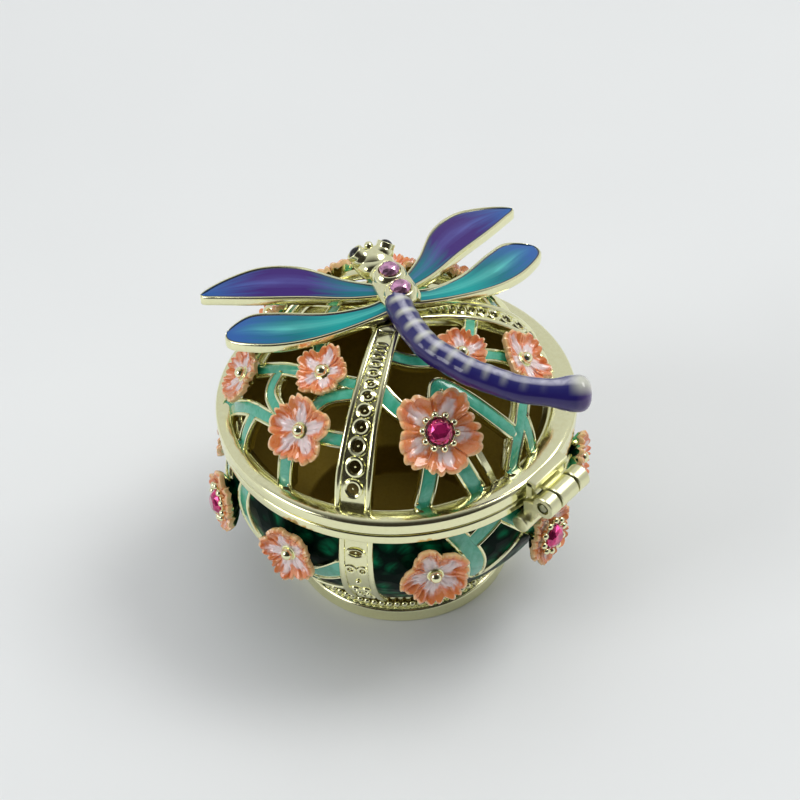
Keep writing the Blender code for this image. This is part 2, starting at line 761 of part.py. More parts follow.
# Name, ahead and left in mm, height as a share of the thorax's, and an eye's lean to its side
EYES = (("left", 7.6, 2.3, 0.82, 38.0), ("right", 7.6, -1.5, 0.82, -38.0))
THORAX_STONES = (("rear", -1.7, 0.0, 0.833), ("front", 2.15, 0.0, 0.833))
EYE_LEAN_AHEAD = 25.0


def tilted_frame(point, forward_lean, side_lean):
    spin = Matrix.Rotation(math.radians(BODY_AZIMUTH), 4, "Z")
    sideways = Matrix.Rotation(math.radians(-side_lean), 4, "X")
    forwards = Matrix.Rotation(math.radians(forward_lean), 4, "Y")
    return Matrix.Translation(point) @ spin @ sideways @ forwards


def eye_frame(ahead, left, height, side_lean):
    point = body_point(ahead * MM, left * MM, height * THORAX_HEIGHT)
    return tilted_frame(point, EYE_LEAN_AHEAD, side_lean)


def thorax_frame(ahead, left, height):
    return tilted_frame(body_point(ahead * MM, left * MM, height * THORAX_HEIGHT), 0.0, 0.0)


# Outlines of the left wings, ahead and left in mm
FORE_WING = (
    (-0.6, 1.0), (1.2, 5.6), (5.0, 11.1), (8.8, 16.8), (11.6, 20.6), (13.1, 22.4), (14.1, 21.6),
    (14.4, 18.0), (13.6, 13.6), (10.6, 9.2), (5.6, 5.4), (2.4, 2.2), (1.6, 1.0),
)
HIND_WING = (
    (-3.2, 1.0), (-3.7, 6.0), (-2.9, 12.2), (-0.9, 17.2), (2.3, 21.3), (4.3, 22.2),
    (5.8, 20.6), (6.2, 17.8), (4.4, 14.6), (0.8, 9.4), (-0.9, 4.4), (-0.8, 1.0),
)


def wing_height(left, droop):
    share = left * MM / WING_SPAN
    return WING_ROOT_ABOVE_BELLY + 0.5 * WING_THICKNESS - droop * share ** 1.3


def wing(name, outline, side):
    droop = WING_DROOP if side > 0.0 else RIGHT_WING_DROOP
    rings = []
    for level in (-0.5, 0.5):
        ring = []
        for ahead, left in outline:
            height = wing_height(left, droop) + level * WING_THICKNESS
            ring.append(body_point(ahead * MM, side * left * MM, height))
        rings.append(ring)
    return lofted(name, rings, gold())


# Ahead, left and height in mm
TAIL_PATH = (
    (-2.4, 0.7, 1.8), (-4.6, 1.0, 1.75), (-8.4, 0.9, 1.6), (-11.9, 0.3, 1.4), (-14.6, -1.1, 1.15),
    (-17.3, -2.8, 0.8), (-19.8, -5.2, 0.4), (-22.0, -7.6, 0.0), (-23.5, -10.3, -0.3), (-24.8, -13.1, -0.5),
    (-25.8, -15.9, -0.6),
)


def tail():
    path = smooth_path(TAIL_PATH, 4)
    points = [body_point(a * MM, b * MM, h * MM) for a, b, h in path]
    lengths = [0.0]
    for first, second in zip(points, points[1:]):
        lengths.append(lengths[-1] + (second - first).length)
    total = lengths[-1]
    rows = 2 * TAIL_SEGMENTS
    rings = []
    for row in range(rows + 1):
        share = row / rows
        point, along = point_along(points, lengths, share * total)
        radius = TAIL_RADIUS if row % 2 else 0.86 * TAIL_RADIUS
        if share > 0.86:
            radius = TAIL_TIP_RADIUS
        if share > 0.95:
            radius = 0.75 * TAIL_TIP_RADIUS
        rings.append(round_section(point, along, radius, 8))
    return lofted("tail", rings, gold())


def point_along(points, lengths, distance):
    for index in range(1, len(points)):
        if lengths[index] >= distance - 1e-9:
            break
    start = points[index - 1]
    end = points[index]
    span = lengths[index] - lengths[index - 1]
    share = (distance - lengths[index - 1]) / span
    return start.lerp(end, share), (end - start).normalized()


def round_section(point, along, radius, steps):
    side = along.cross(Vector((0.0, 0.0, 1.0))).normalized()
    up = side.cross(along)
    ring = []
    for place in range(steps):
        angle = 2.0 * math.pi * place / steps
        ring.append(point + (side * math.cos(angle) + up * math.sin(angle)) * radius)
    return ring


def dragonfly():
    parts = [body_and_head(), tail()]
    for side in (1.0, -1.0):
        parts.append(wing("fore wing", FORE_WING, side))
        parts.append(wing("hind wing", HIND_WING, side))
    for which, ahead, left, height, lean in EYES:
        frame = eye_frame(ahead, left, height, lean)
        parts.append(stone_seat("eye seat", frame, EYE_STONE_DIAMETER, 0.0))
    for which, ahead, left, height in THORAX_STONES:
        frame = thorax_frame(ahead, left, height)
        parts.append(stone_seat("stone seat", frame, THORAX_STONE_DIAMETER, 0.0))
    return united("dragonfly", parts, gold())


def dragonfly_stones():
    stones = []
    for which, ahead, left, height, lean in EYES:
        frame = eye_frame(ahead, left, height, lean)
        stones.append(stone("eye_stone_" + which, frame, EYE_STONE_DIAMETER, 0.0, BLACK))
    for which, ahead, left, height in THORAX_STONES:
        frame = thorax_frame(ahead, left, height)
        stones.append(stone("thorax_stone_" + which, frame, THORAX_STONE_DIAMETER, 0.0, PINK))
    return stones


# Assembly

def clear_scene():
    for shape in list(bpy.data.objects):
        bpy.data.objects.remove(shape)


def hang_on_hinge(shapes):
    """The lid's pieces hang from an empty on the hinge axis."""
    axis = bpy.data.objects.new("lid hinge axis", None)
    axis.location = (0.0, hinge_y(), hinge_z())
    bpy.context.scene.collection.objects.link(axis)
    bpy.context.view_layer.update()
    for shape in shapes:
        shape.parent = axis
        shape.matrix_parent_inverse = axis.matrix_world.inverted()


def main():
    clear_scene()
    base_cup()
    cup_stones()
    hinge_base_leaf()
    hinge_pin()
    lid = [lid_cage(), hinge_lid_leaf(), dragonfly()] + lid_stones() + dragonfly_stones()
    hang_on_hinge(lid)


main()
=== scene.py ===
"""Looks of an enamel trinket box: a pierced domed lid with a dragonfly, hinged on a round footed cup.

Lengths are in millimetres unless a name says otherwise. Azimuths are in degrees, from +X towards +Y.
"""

import json
import math

import bmesh
import bpy
from bpy.props import FloatProperty, FloatVectorProperty, IntProperty, PointerProperty
from mathutils import Matrix, Vector
from mathutils.kdtree import KDTree

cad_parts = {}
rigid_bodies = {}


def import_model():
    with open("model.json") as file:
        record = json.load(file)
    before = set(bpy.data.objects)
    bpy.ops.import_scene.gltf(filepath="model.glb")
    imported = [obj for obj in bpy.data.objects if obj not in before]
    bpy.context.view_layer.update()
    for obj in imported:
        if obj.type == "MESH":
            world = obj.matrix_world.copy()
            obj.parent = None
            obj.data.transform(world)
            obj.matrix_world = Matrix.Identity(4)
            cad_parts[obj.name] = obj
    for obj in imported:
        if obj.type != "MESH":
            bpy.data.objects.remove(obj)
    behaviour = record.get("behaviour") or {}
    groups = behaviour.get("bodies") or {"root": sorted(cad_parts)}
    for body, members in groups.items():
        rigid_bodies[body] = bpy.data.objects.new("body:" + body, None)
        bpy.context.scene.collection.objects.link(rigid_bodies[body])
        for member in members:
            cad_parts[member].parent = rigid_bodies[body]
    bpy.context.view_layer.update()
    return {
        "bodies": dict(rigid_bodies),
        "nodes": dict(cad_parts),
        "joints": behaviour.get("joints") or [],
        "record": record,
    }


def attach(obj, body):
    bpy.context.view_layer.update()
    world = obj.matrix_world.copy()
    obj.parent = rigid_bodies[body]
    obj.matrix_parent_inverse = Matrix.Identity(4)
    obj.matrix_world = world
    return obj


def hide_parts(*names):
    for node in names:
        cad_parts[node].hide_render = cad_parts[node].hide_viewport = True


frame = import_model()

bl_info = {
    "name": "Enamel Trinket Box",
    "version": (1, 0, 0),
    "blender": (4, 5, 0),
    "location": "3D View > Sidebar > Trinket Box",
    "description": "Dresses a dragonfly trinket box in gold plating, enamel and rhinestones",
    "category": "Object",
}

MM = 0.001
RING_STEPS = 192
CUP_STEPS = 160

# Sizes the castings share with the solids
SEAM = 26.0
SEAM_GAP = 0.3
LID_RADIUS = 24.0
LID_BAND = 2.1
BASE_RIM_RADIUS = 23.8
BASE_BAND = 1.6
DOME_RADIUS = 21.0
DOME_RISE = 15.0
DOME_FOOT = SEAM + 1.0
CAGE_DEPTH = 1.0
RING_MEETS_DOME = 0.95
RING_RUN = 11.0
HOLE_SHIFT = Vector((0.55, -0.35, 0.0))
CROWN_RADIUS = 3.4
RIB_RAISED = 0.7
RIB_CHANNEL = 0.42
RAIL_RISE = 0.34
VINE_RAISED = 0.5
VINE_END = 0.3
LOW_CHAMFER = (0.10, 0.15)
EDGE_ROUND = 0.18
BED_GAP = 0.03
MEETING_REACH = 2.4
EDGE_CLEAR = 0.06
BED_OVERLAP = 0.15
RIB_RIM = 0.25
VINE_DIP = 0.34
FOOT_RADIUS = 14.8
FOOT_BAND = 2.0
FOOT_GROOVE = 0.4
BEAD_ROW_HEIGHT = 1.5
BEAD_ROW_RADIUS = 14.9
BEAD_ROWS = 2
BEAD_RADIUS = 0.47
BEAD_STAND = 0.2
WAIST_RADIUS = 14.2
BOWL_WIDEST = 23.2
BOWL_FULLNESS = 0.85
BOWL_WIDEST_AT = 0.75
BOWL_WALL = 1.2
FLOOR = 1.8
CUP_RIB_RAISED = 0.5
CUP_RIB_CHANNEL = 0.4
CUP_RIB_WIDTH = 4.6
CUP_VINE_RAISED = CUP_RIB_RAISED - 0.08
CUP_BAR_RAISED = 0.3
CUP_SINK = 0.7
RIB_AZIMUTHS = (26.0, 146.0, 266.0)
PETAL_COUNT = 5
PETAL_THICKNESS = 0.8
PETAL_CURL = 0.8
LID_FLOWER_LIFT = 0.2
CUP_FLOWER_LIFT = 0.8
CUP_STONE_FLOWER_LIFT = 1.0
CUP_FLOWER_LEAN = 4.0
FLOWER_STONE = 3.3
THORAX_STONE = 2.7
EYE_STONE = 1.7
STONE_DEPTH = 0.55
STONE_GAP = 0.3
SEAT_WALL = 0.28
SEAT_CLEARANCE = 0.1
PRONGS = 10
PRONG_RADIUS = 0.5
BODY_AZIMUTH = -118.5
BODY_PLACE = Vector((-2.2, -1.2, 43.0))
THORAX_WIDTH = 5.4
THORAX_HEIGHT = 2.8
WING_SPAN = 24.0
WING_THICKNESS = 1.4
WING_ROOT = 0.35
WING_DROOP = {1.0: 4.3, -1.0: 4.7}
TAIL_RADIUS = 1.8
TAIL_TIP_RADIUS = 2.35
HINGE = Vector(frame["joints"][0]["pos_m"]) / MM
KNUCKLE_RADIUS = 1.6
PIN_RADIUS = 0.6
BARREL = 8.0
MIDDLE_KNUCKLE = 3.4
LEAF = 0.9
LID_LEAF_LENGTH = 6.8
SOLDER_BAR_RADIUS = 1.25
SOLDER_BAR_LENGTH = 9.6
FIT_GAP = 0.3

# Azimuth, share of the way down the dome, diameter, turn and what sits in the middle
LID_FLOWERS = (
    (60.0, 0.58, 12.0, 18.0, "stone"),
    (0.0, 0.63, 9.4, 0.0, "ball"),
    (122.0, 0.60, 8.8, 30.0, "ball"),
    (97.0, 0.33, 7.6, 10.0, "ball"),
    (-8.0, 0.37, 7.6, 0.0, "ball"),
    (-46.0, 0.70, 8.6, 20.0, "ball"),
    (-78.0, 0.62, 8.4, 40.0, "ball"),
    (178.0, 0.56, 8.8, 0.0, "ball"),
    (222.0, 0.40, 8.0, 0.0, "ball"),
    (243.0, 0.70, 8.8, 0.0, "ball"),
)

# Azimuth, share and width at each corner of a vine
LID_VINES = (
    ((-50.0, 1.02, 2.2), (-30.0, 0.74, 2.2), (0.0, 0.63, 2.0)),
    ((-3.0, 0.63, 2.0), (-24.0, 0.60, 2.0), (-31.0, 0.50, 2.0)),
    ((-26.0, 0.70, 2.0), (-27.0, 1.02, 2.0)),
    ((-3.0, 0.66, 2.4), (0.0, 1.03, 2.4)),
    ((3.0, 0.62, 2.2), (24.0, 0.60, 2.2)),
    ((-2.0, 0.58, 2.0), (4.0, 0.45, 2.0), (22.0, 0.38, 2.0)),
    ((-8.0, 0.37, 2.0), (22.0, 0.35, 2.0)),
    ((-9.0, 0.36, 2.0), (-50.0, 0.26, 2.0), (-90.0, 0.24, 2.0)),
    ((-48.0, 0.66, 2.0), (-66.0, 0.50, 2.0), (-92.0, 0.48, 2.0)),
    ((-48.0, 0.72, 2.2), (-60.0, 1.02, 2.2)),
    ((-77.0, 0.66, 2.2), (-74.0, 1.02, 2.2)),
    ((-9.0, 0.38, 2.0), (-30.0, 0.48, 2.0), (-46.0, 0.66, 2.0)),
    ((30.0, 0.34, 2.4), (40.0, 0.42, 2.4), (58.0, 0.56, 2.4)),
    ((28.0, 0.18, 2.0), (52.0, 0.23, 2.0), (97.0, 0.32, 2.0)),
    ((60.0, 0.52, 2.0), (69.0, 0.38, 2.0), (81.0, 0.50, 2.2), (93.0, 0.78, 2.2)),
    ((84.0, 1.02, 2.4), (91.0, 0.83, 2.4), (105.0, 0.69, 2.4), (121.0, 0.61, 2.2)),
    ((100.0, 0.72, 2.2), (98.0, 1.02, 2.2)),
    ((57.0, 0.62, 2.4), (48.5, 1.02, 2.4)),
    ((63.0, 0.62, 2.6), (72.5, 1.02, 2.6)),
    ((98.0, 0.33, 2.0), (112.0, 0.44, 2.0), (121.0, 0.58, 2.0)),
    ((98.0, 0.32, 2.0), (128.0, 0.32, 2.0), (148.0, 0.34, 2.0)),
    ((123.0, 0.62, 2.2), (136.0, 0.80, 2.2), (134.0, 1.02, 2.2)),
    ((147.0, 0.50, 2.2), (178.0, 0.55, 2.2)),
    ((176.0, 0.58, 2.4), (168.0, 1.02, 2.4)),
    ((180.0, 0.54, 2.0), (200.0, 0.44, 2.0), (222.0, 0.40, 2.0)),
    ((222.0, 0.38, 2.0), (240.0, 0.24, 2.0), (266.0, 0.16, 2.0)),
    ((223.0, 0.42, 2.0), (236.0, 0.56, 2.0), (243.0, 0.68, 2.0)),
    ((181.0, 0.58, 2.0), (206.0, 0.68, 2.0), (216.0, 1.02, 2.0)),
    ((149.0, 0.22, 2.0), (196.0, 0.24, 2.0), (221.0, 0.37, 2.0)),
    ((242.0, 0.72, 2.4), (238.0, 1.02, 2.4)),
    ((244.0, 0.69, 2.2), (267.0, 0.64, 2.2)),
)
LID_GOLD_BARS = (((73.0, 0.66, 1.0), (79.0, 1.02, 1.0)),)

# Name, azimuth, share of the way up the bowl, diameter, turn and what sits in the middle
CUP_FLOWERS = (
    ("front", 50.6, 0.71, 9.6, 0.0, "ball"),
    ("right", 93.0, 0.57, 9.0, 0.0, "stone"),
    ("far right", 121.0, 0.74, 7.6, 30.0, "ball"),
    ("front left", 4.2, 0.74, 8.8, 10.0, "ball"),
    ("left", -31.5, 0.62, 9.0, 0.0, "stone"),
    ("hidden left", -68.0, 0.56, 9.0, 20.0, "ball"),
    ("back", 172.0, 0.60, 9.0, 0.0, "ball"),
    ("back middle", 208.0, 0.66, 9.0, 30.0, "ball"),
    ("back right", 243.0, 0.56, 9.0, 0.0, "ball"),
)

CUP_VINES = (
    ((56.5, 1.02, 2.8), (62.1, 0.84, 2.8), (65.1, 0.67, 2.8), (65.4, 0.48, 2.4)),
    ((61.4, 0.84, 2.6), (69.0, 0.93, 2.6), (77.0, 1.02, 2.6)),
    ((75.0, 1.02, 3.0), (80.9, 0.89, 3.0), (85.0, 0.79, 3.0), (92.0, 0.62, 2.8)),
    ((98.0, 0.66, 2.6), (108.0, 0.78, 2.6), (120.0, 0.76, 2.6)),
    ((126.0, 0.74, 2.6), (137.0, 0.56, 2.6), (144.0, 0.42, 2.6)),
    ((126.0, 0.80, 2.4), (120.0, 1.0, 2.4)),
    ((8.0, 0.52, 2.2), (14.0, 0.58, 2.8), (24.0, 0.74, 3.4)),
    ((-20.0, 1.0, 2.6), (-21.0, 0.78, 2.8), (-16.0, 0.50, 2.6), (-10.0, 0.30, 2.2)),
    ((-33.0, 0.76, 2.2), (-38.0, 1.0, 2.2)),
    ((-36.0, 0.66, 2.6), (-52.0, 0.54, 2.6), (-66.0, 0.52, 2.6)),
    ((-70.0, 0.56, 2.6), (-80.0, 0.80, 2.6), (-90.0, 0.90, 2.6)),
    ((-66.0, 0.60, 2.4), (-58.0, 1.0, 2.4)),
    ((152.0, 0.60, 2.8), (162.0, 0.56, 2.6), (172.0, 0.52, 2.6)),
    ((176.0, 0.58, 2.6), (184.0, 0.82, 2.6), (190.0, 1.0, 2.6)),
    ((176.0, 0.46, 2.6), (192.0, 0.48, 2.6), (208.0, 0.62, 2.6)),
    ((210.0, 0.68, 2.6), (218.0, 1.0, 2.6)),
    ((212.0, 0.60, 2.6), (228.0, 0.48, 2.6), (240.0, 0.48, 2.6)),
    ((246.0, 0.54, 2.6), (256.0, 0.76, 2.6), (262.0, 0.84, 2.6)),
)
CUP_GOLD_BARS = (
    ((65.4, 0.48, 0.8), (70.0, 0.48, 0.8), (79.7, 0.65, 0.8), (85.0, 0.78, 0.8)),
    ((8.0, 0.34, 0.7), (16.0, 0.36, 0.7), (24.0, 0.44, 0.7)),
)

# Share up a rib of the cup, degrees aside, half width, half height and kind of each boss on it
CUP_RIB_BOSSES = (
    (0.86, 0.0, 1.05, 0.62, "pit"), (0.70, 2.0, 0.60, 0.62, "pit"), (0.70, -2.0, 0.60, 0.62, "pit"),
    (0.42, 2.0, 0.60, 0.62, "pit"), (0.42, -2.0, 0.60, 0.62, "pit"), (0.56, 0.0, 0.42, 0.40, "dome"),
    (0.30, 1.6, 0.42, 0.75, "dome"), (0.30, -1.6, 0.42, 0.75, "dome"), (0.19, 0.0, 0.90, 0.42, "pit"),
)

# Ahead and left in mm, half width as a share of the thorax's width, then lowest and highest
# points as shares of its height
BODY_STATIONS = (
    (-3.2, 0.0, 0.39, 0.03, 0.88), (-2.4, 0.0, 0.48, 0.00, 0.97), (0.0, 0.0, 0.50, 0.00, 1.00),
    (2.2, 0.0, 0.46, 0.00, 0.97), (3.2, 0.1, 0.31, 0.06, 0.82), (4.2, 0.2, 0.30, 0.03, 0.76),
    (5.0, 0.3, 0.41, -0.15, 0.88), (6.4, 0.4, 0.46, -0.27, 0.94), (8.0, 0.5, 0.46, -0.24, 0.91),
    (9.0, 0.5, 0.33, -0.09, 0.73),
)
# Name, ahead, left, height as a share of the thorax's, and lean to the side
EYES = (("left", 7.6, 2.3, 0.82, 38.0), ("right", 7.6, -1.5, 0.82, -38.0))
THORAX_STONES = (("rear", -1.7, 0.0, 0.833), ("front", 2.15, 0.0, 0.833))
EYE_LEAN_AHEAD = 25.0
BROW_BALL = (8.4, 0.45, 2.65)
BROW_BALL_RADIUS = 0.62
# The head, the neck and the thorax: ahead, left and height, then half the length, width and height
SWELLINGS = (
    (6.9, 0.4, 1.25, 2.4, 2.55, 1.75),
    (4.3, 0.25, 1.1, 1.7, 1.75, 1.35),
    (0.25, 0.0, 1.3, 3.1, 2.65, 1.62),
)

# Outlines of the left wings, ahead and left
FORE_WING = (
    (-0.6, 1.0), (1.2, 5.6), (5.0, 11.1), (8.8, 16.8), (11.6, 20.6), (13.1, 22.4), (14.1, 21.6),
    (14.4, 18.0), (13.6, 13.6), (10.6, 9.2), (5.6, 5.4), (2.4, 2.2), (1.6, 1.0),
)
HIND_WING = (
    (-3.2, 1.0), (-3.7, 6.0), (-2.9, 12.2), (-0.9, 17.2), (2.3, 21.3), (4.3, 22.2),
    (5.8, 20.6), (6.2, 17.8), (4.4, 14.6), (0.8, 9.4), (-0.9, 4.4), (-0.8, 1.0),
)
# Ahead, left and height
TAIL_PATH = (
    (-2.4, 0.7, 1.8), (-4.6, 1.0, 1.75), (-8.4, 0.9, 1.6), (-11.9, 0.3, 1.4), (-14.6, -1.1, 1.15),
    (-17.3, -2.8, 0.8), (-19.8, -5.2, 0.4), (-22.0, -7.6, 0.0), (-23.5, -10.3, -0.3), (-24.8, -13.1, -0.5),
    (-25.8, -15.9, -0.6),
)


# Settings

def colour(name, description, default):
    return FloatVectorProperty(name=name, description=description, default=default, subtype="COLOR",
                               min=0.0, max=1.0)


def amount(name, description, default):
    return FloatProperty(name=name, description=description, default=default, min=0.0)


def count(name, description, default):
    return IntProperty(name=name, description=description, default=default, min=1)


class TrinketBoxSizes(bpy.types.PropertyGroup):
    """Sizes of the fine relief, in millimetres."""

    foot_beads: count("Foot beads", "Beads in each row round the foot", 88)
    tail_rings: count("Tail rings", "Raised rings along the tail", 13)
    rib_rings: count("Rib rings", "Rings along each rib of the lid", 12)
    vine_edge: amount("Vine edge", "Width of the gold edge beside a vine's enamel, in mm", 0.36)
    rail_width: amount("Rail width", "Width of the rails along the ribs, in mm", 0.85)
    wing_edge: amount("Wing edge", "Width of the gold edge round a wing, in mm", 0.30)
    ruffles: amount("Ruffles", "Scallops along the edge of a petal", 4.0)
    enamel_sink: amount("Enamel sink", "Depth of the enamel below its gold edge, in mm", 0.16)
    heart_ball: amount("Heart ball", "Radius of the gold ball in a flower, in mm", 0.85)


class TrinketBoxColours(bpy.types.PropertyGroup):
    """Colours of the plating, enamels and stones."""

    gold: colour("Gold", "Pale gold plating", (0.91, 0.90, 0.57))
    gold_shade: colour("Gold shade", "Plating where it is thin", (0.88, 0.86, 0.52))
    # Inside the cup the plating is painted a dark brownish gold: painted shade where little light reaches
    inside: colour("Inside", "Plating inside the cup", (0.33, 0.235, 0.035))
    shaded_inside_thin: colour("Inside shade", "Plating inside the cup where it is thin", (0.31, 0.22, 0.03))
    hinge: colour("Hinge", "Plating of the hinge", (0.86, 0.85, 0.54))
    pin: colour("Pin", "Worn plating of the hinge pin", (0.50, 0.50, 0.33))
    pin_shade: colour("Pin shade", "Plating of the pin where it is thin", (0.34, 0.34, 0.20))
    coral: colour("Coral", "Petal enamel", (0.80, 0.265, 0.085))
    # The deep coral is painted shade in the petals' folds
    coral_in_fold_shade: colour("Deep coral", "Petal enamel in the folds", (0.72, 0.13, 0.02))
    heart: colour("Heart", "Petal enamel near the middle", (0.86, 0.69, 0.68))
    petal_tip: colour("Petal tip", "Thin enamel over gold at the petal's edge", (0.92, 0.62, 0.30))
    petal_pearl: colour("Petal pearl", "Pearly streaks of the petal enamel", (1.0, 0.92, 0.85))
    # The hollows of the ribs and the cup's waist are painted dark: painted shade
    antique: colour("Antique", "Darkened plating in the hollows of the ribs", (0.16, 0.12, 0.035))
    thin_hollow_shade: colour("Antique shade", "Darkened plating where it is thin", (0.08, 0.06, 0.02))
    turquoise: colour("Turquoise", "Vine enamel", (0.04, 0.38, 0.235))
    pale_turquoise: colour("Pale turquoise", "Pearly patches of the vine enamel", (0.12, 0.56, 0.41))
    emerald: colour("Emerald", "Enamel between the cup's vines", (0.0, 0.007, 0.004))
    # The bright emerald paints glints of light in the dark enamel
    emerald_glint_paint: colour("Bright emerald", "Lit depth of the emerald enamel", (0.0, 0.27, 0.11))
    wing_blue: colour("Wing blue", "Tips of the wings", (0.03, 0.14, 0.46))
    wing_violet: colour("Wing violet", "Middle of the fore wings", (0.05, 0.012, 0.20))
    wing_teal: colour("Wing teal", "Roots of the wings", (0.0, 0.20, 0.25))
    wing_turquoise: colour("Wing turquoise", "Middle of the hind wings", (0.0, 0.40, 0.38))
    # The wing line is painted shade: a dark strip where the enamel meets the gold rim
    wing_line: colour("Wing line", "Dark lines across the wings", (0.008, 0.012, 0.05))
    pearl_of_wing_rim_shade: colour("Wing line pearl", "Pearly patches of the wing lines", (0.012, 0.03, 0.09))
    # The gleams are painted highlights down the middle of the wings, over their pearl streaks
    hind_wing_highlight: colour("Wing gleam", "Pearl streaks along the hind wings", (0.14, 0.74, 0.64))
    fore_wing_highlight: colour("Violet gleam", "Pearl streaks along the fore wings", (0.16, 0.20, 0.62))
    tail_violet: colour("Tail violet", "Sides of the tail", (0.022, 0.008, 0.13))
    tail_blue: colour("Tail blue", "Upper side of the tail", (0.018, 0.018, 0.13))
    # The pale bands are thin enamel over the rings, kept to the upper side as painted highlight; this colour
    # also paints the club's highlight
    tail_pearl_and_highlight: colour("Tail pearl", "Thin enamel over the tail's rings", (0.66, 0.68, 0.54))
    tail_sheen: colour("Tail sheen", "Line of light along the tail", (0.70, 0.70, 0.80))
    # The club's lighter lavender is painted highlight
    tail_club_highlight: colour("Tail end", "Thin enamel on the tail's club", (0.30, 0.20, 0.40))
    magenta: colour("Magenta", "Flower stones", (0.86, 0.03, 0.24))
    lilac: colour("Lilac", "Stones of the thorax", (0.96, 0.46, 0.76))
    black: colour("Black", "Eye stones", (0.006, 0.006, 0.008))
    floor: colour("Floor", "Table top under the box", (0.82, 0.84, 0.84))


def sizes():
    return bpy.context.scene.trinket_box_sizes


def colours():
    return bpy.context.scene.trinket_box_colours


# Places

def outward(azimuth):
    angle = math.radians(azimuth)
    return Vector((math.cos(angle), math.sin(angle), 0.0))


def lid_place(azimuth, share):
    """Point and normal on the dome; share is 0 at the crown and 1 at the ring."""
    past = max(0.0, share - RING_MEETS_DOME)
    tilt = math.radians(90.0 * min(share, RING_MEETS_DOME))
    out = outward(azimuth)
    reach = math.sin(tilt)
    rise = math.cos(tilt)
    point = out * (DOME_RADIUS * reach + RING_RUN * past) + HOLE_SHIFT * reach
    point.z = DOME_FOOT + DOME_RISE * rise
    normal = (out * (reach / DOME_RADIUS) + Vector((0.0, 0.0, rise / DOME_RISE))).normalized()
    return point, normal.lerp(Vector((0.0, 0.0, 1.0)), ease(12.0 * past)).normalized()


def bowl_foot():
    return FOOT_BAND + FOOT_GROOVE + BEAD_ROWS * BEAD_ROW_HEIGHT


def shoulder():
    return SEAM - BASE_BAND


def bowl_radius(height):
    share = (height - bowl_foot()) / (shoulder() - bowl_foot())
    share = min(1.0, max(0.0, share))
    swell = math.sin(0.5 * math.pi * share / BOWL_WIDEST_AT) ** BOWL_FULLNESS
    return BEAD_ROW_RADIUS + (BOWL_WIDEST - BEAD_ROW_RADIUS) * swell


def cup_place(azimuth, share):
    """Point and normal on the bowl; share is 0 at the foot and 1 under the rim."""
    height = bowl_foot() + (shoulder() - bowl_foot()) * share
    step = 0.02 * (shoulder() - bowl_foot())
    slope = (bowl_radius(height + step) - bowl_radius(height - step)) / (2.0 * step)
    out = outward(azimuth)
    point = out * bowl_radius(height)
    point.z = height
    return point, (out - Vector((0.0, 0.0, slope))).normalized()


def frame_on(point, normal, turn=0.0):
    """A frame at the point with +Z along the normal and +X level, turned about the normal."""
    side = Vector((0.0, 0.0, 1.0)).cross(normal)
    if side.length < 1e-6:
        side = Vector((1.0, 0.0, 0.0))
    side.normalize()
    up = normal.cross(side)
    axes = Matrix((side, up, normal)).transposed().to_4x4()
    return Matrix.Translation(point) @ axes @ Matrix.Rotation(math.radians(turn), 4, "Z")


def raised(frame, height):
    return frame @ Matrix.Translation((0.0, 0.0, height))


def cup_flower_frame(azimuth, share, turn):
    point = cup_place(azimuth, share)[0]
    lean = Vector((0.0, 0.0, math.tan(math.radians(CUP_FLOWER_LEAN))))
    return frame_on(point, (outward(azimuth) + lean).normalized(), turn)


def body_point(ahead, left, height):
    """A point from distances ahead of the thorax, to its left and above its belly."""
    point = BODY_PLACE + outward(BODY_AZIMUTH) * ahead + outward(BODY_AZIMUTH + 90.0) * left
    point.z += height
    return point


def body_frame(ahead, left, height, forward_lean=0.0, side_lean=0.0):
    spin = Matrix.Rotation(math.radians(BODY_AZIMUTH), 4, "Z")
    sideways = Matrix.Rotation(math.radians(-side_lean), 4, "X")
    forwards = Matrix.Rotation(math.radians(forward_lean), 4, "Y")
    return Matrix.Translation(body_point(ahead, left, height)) @ spin @ sideways @ forwards


def eye_frames():
    """Each eye's name and frame."""
    for name, ahead, left, height, lean in EYES:
        yield name, body_frame(ahead, left, height * THORAX_HEIGHT, EYE_LEAN_AHEAD, lean)


def thorax_stone_frames():
    """The name and frame of each stone on the thorax."""
    for name, ahead, left, height in THORAX_STONES:
        yield name, body_frame(ahead, left, height * THORAX_HEIGHT)


def smooth_value(a, b, c, d, t):
    return 0.5 * (2.0 * b + (c - a) * t + (2.0 * a - 5.0 * b + 4.0 * c - d) * t * t
                  + (3.0 * b - a - 3.0 * c + d) * t * t * t)


def smooth_path(corners, steps, closed=False):
    """Points of a Catmull-Rom curve through the corners."""
    count = len(corners)
    if count == 2:
        middle = tuple(0.5 * (a + b) for a, b in zip(corners[0], corners[1]))
        corners = (corners[0], middle, corners[1])
        count = 3
    path = []
    spans = count if closed else count - 1
    for index in range(spans):
        around = []
        for offset in (-1, 0, 1, 2):
            place = index + offset
            place = place % count if closed else min(count - 1, max(0, place))
            around.append(corners[place])
        for step in range(steps):
            t = step / steps
            path.append(tuple(smooth_value(*values, t) for values in zip(*around)))
    if not closed:
        path.append(tuple(corners[-1]))
    return path


def path_lengths(points):
    """The distance along a path at each of its points."""
    lengths = [0.0]
    for first, second in zip(points, points[1:]):
        lengths.append(lengths[-1] + (second - first).length)
    return lengths


def lerp(a, b, t):
    return a + (b - a) * t


def ease(t):
    t = min(1.0, max(0.0, t))
    return t * t * (3.0 - 2.0 * t)


# Meshes

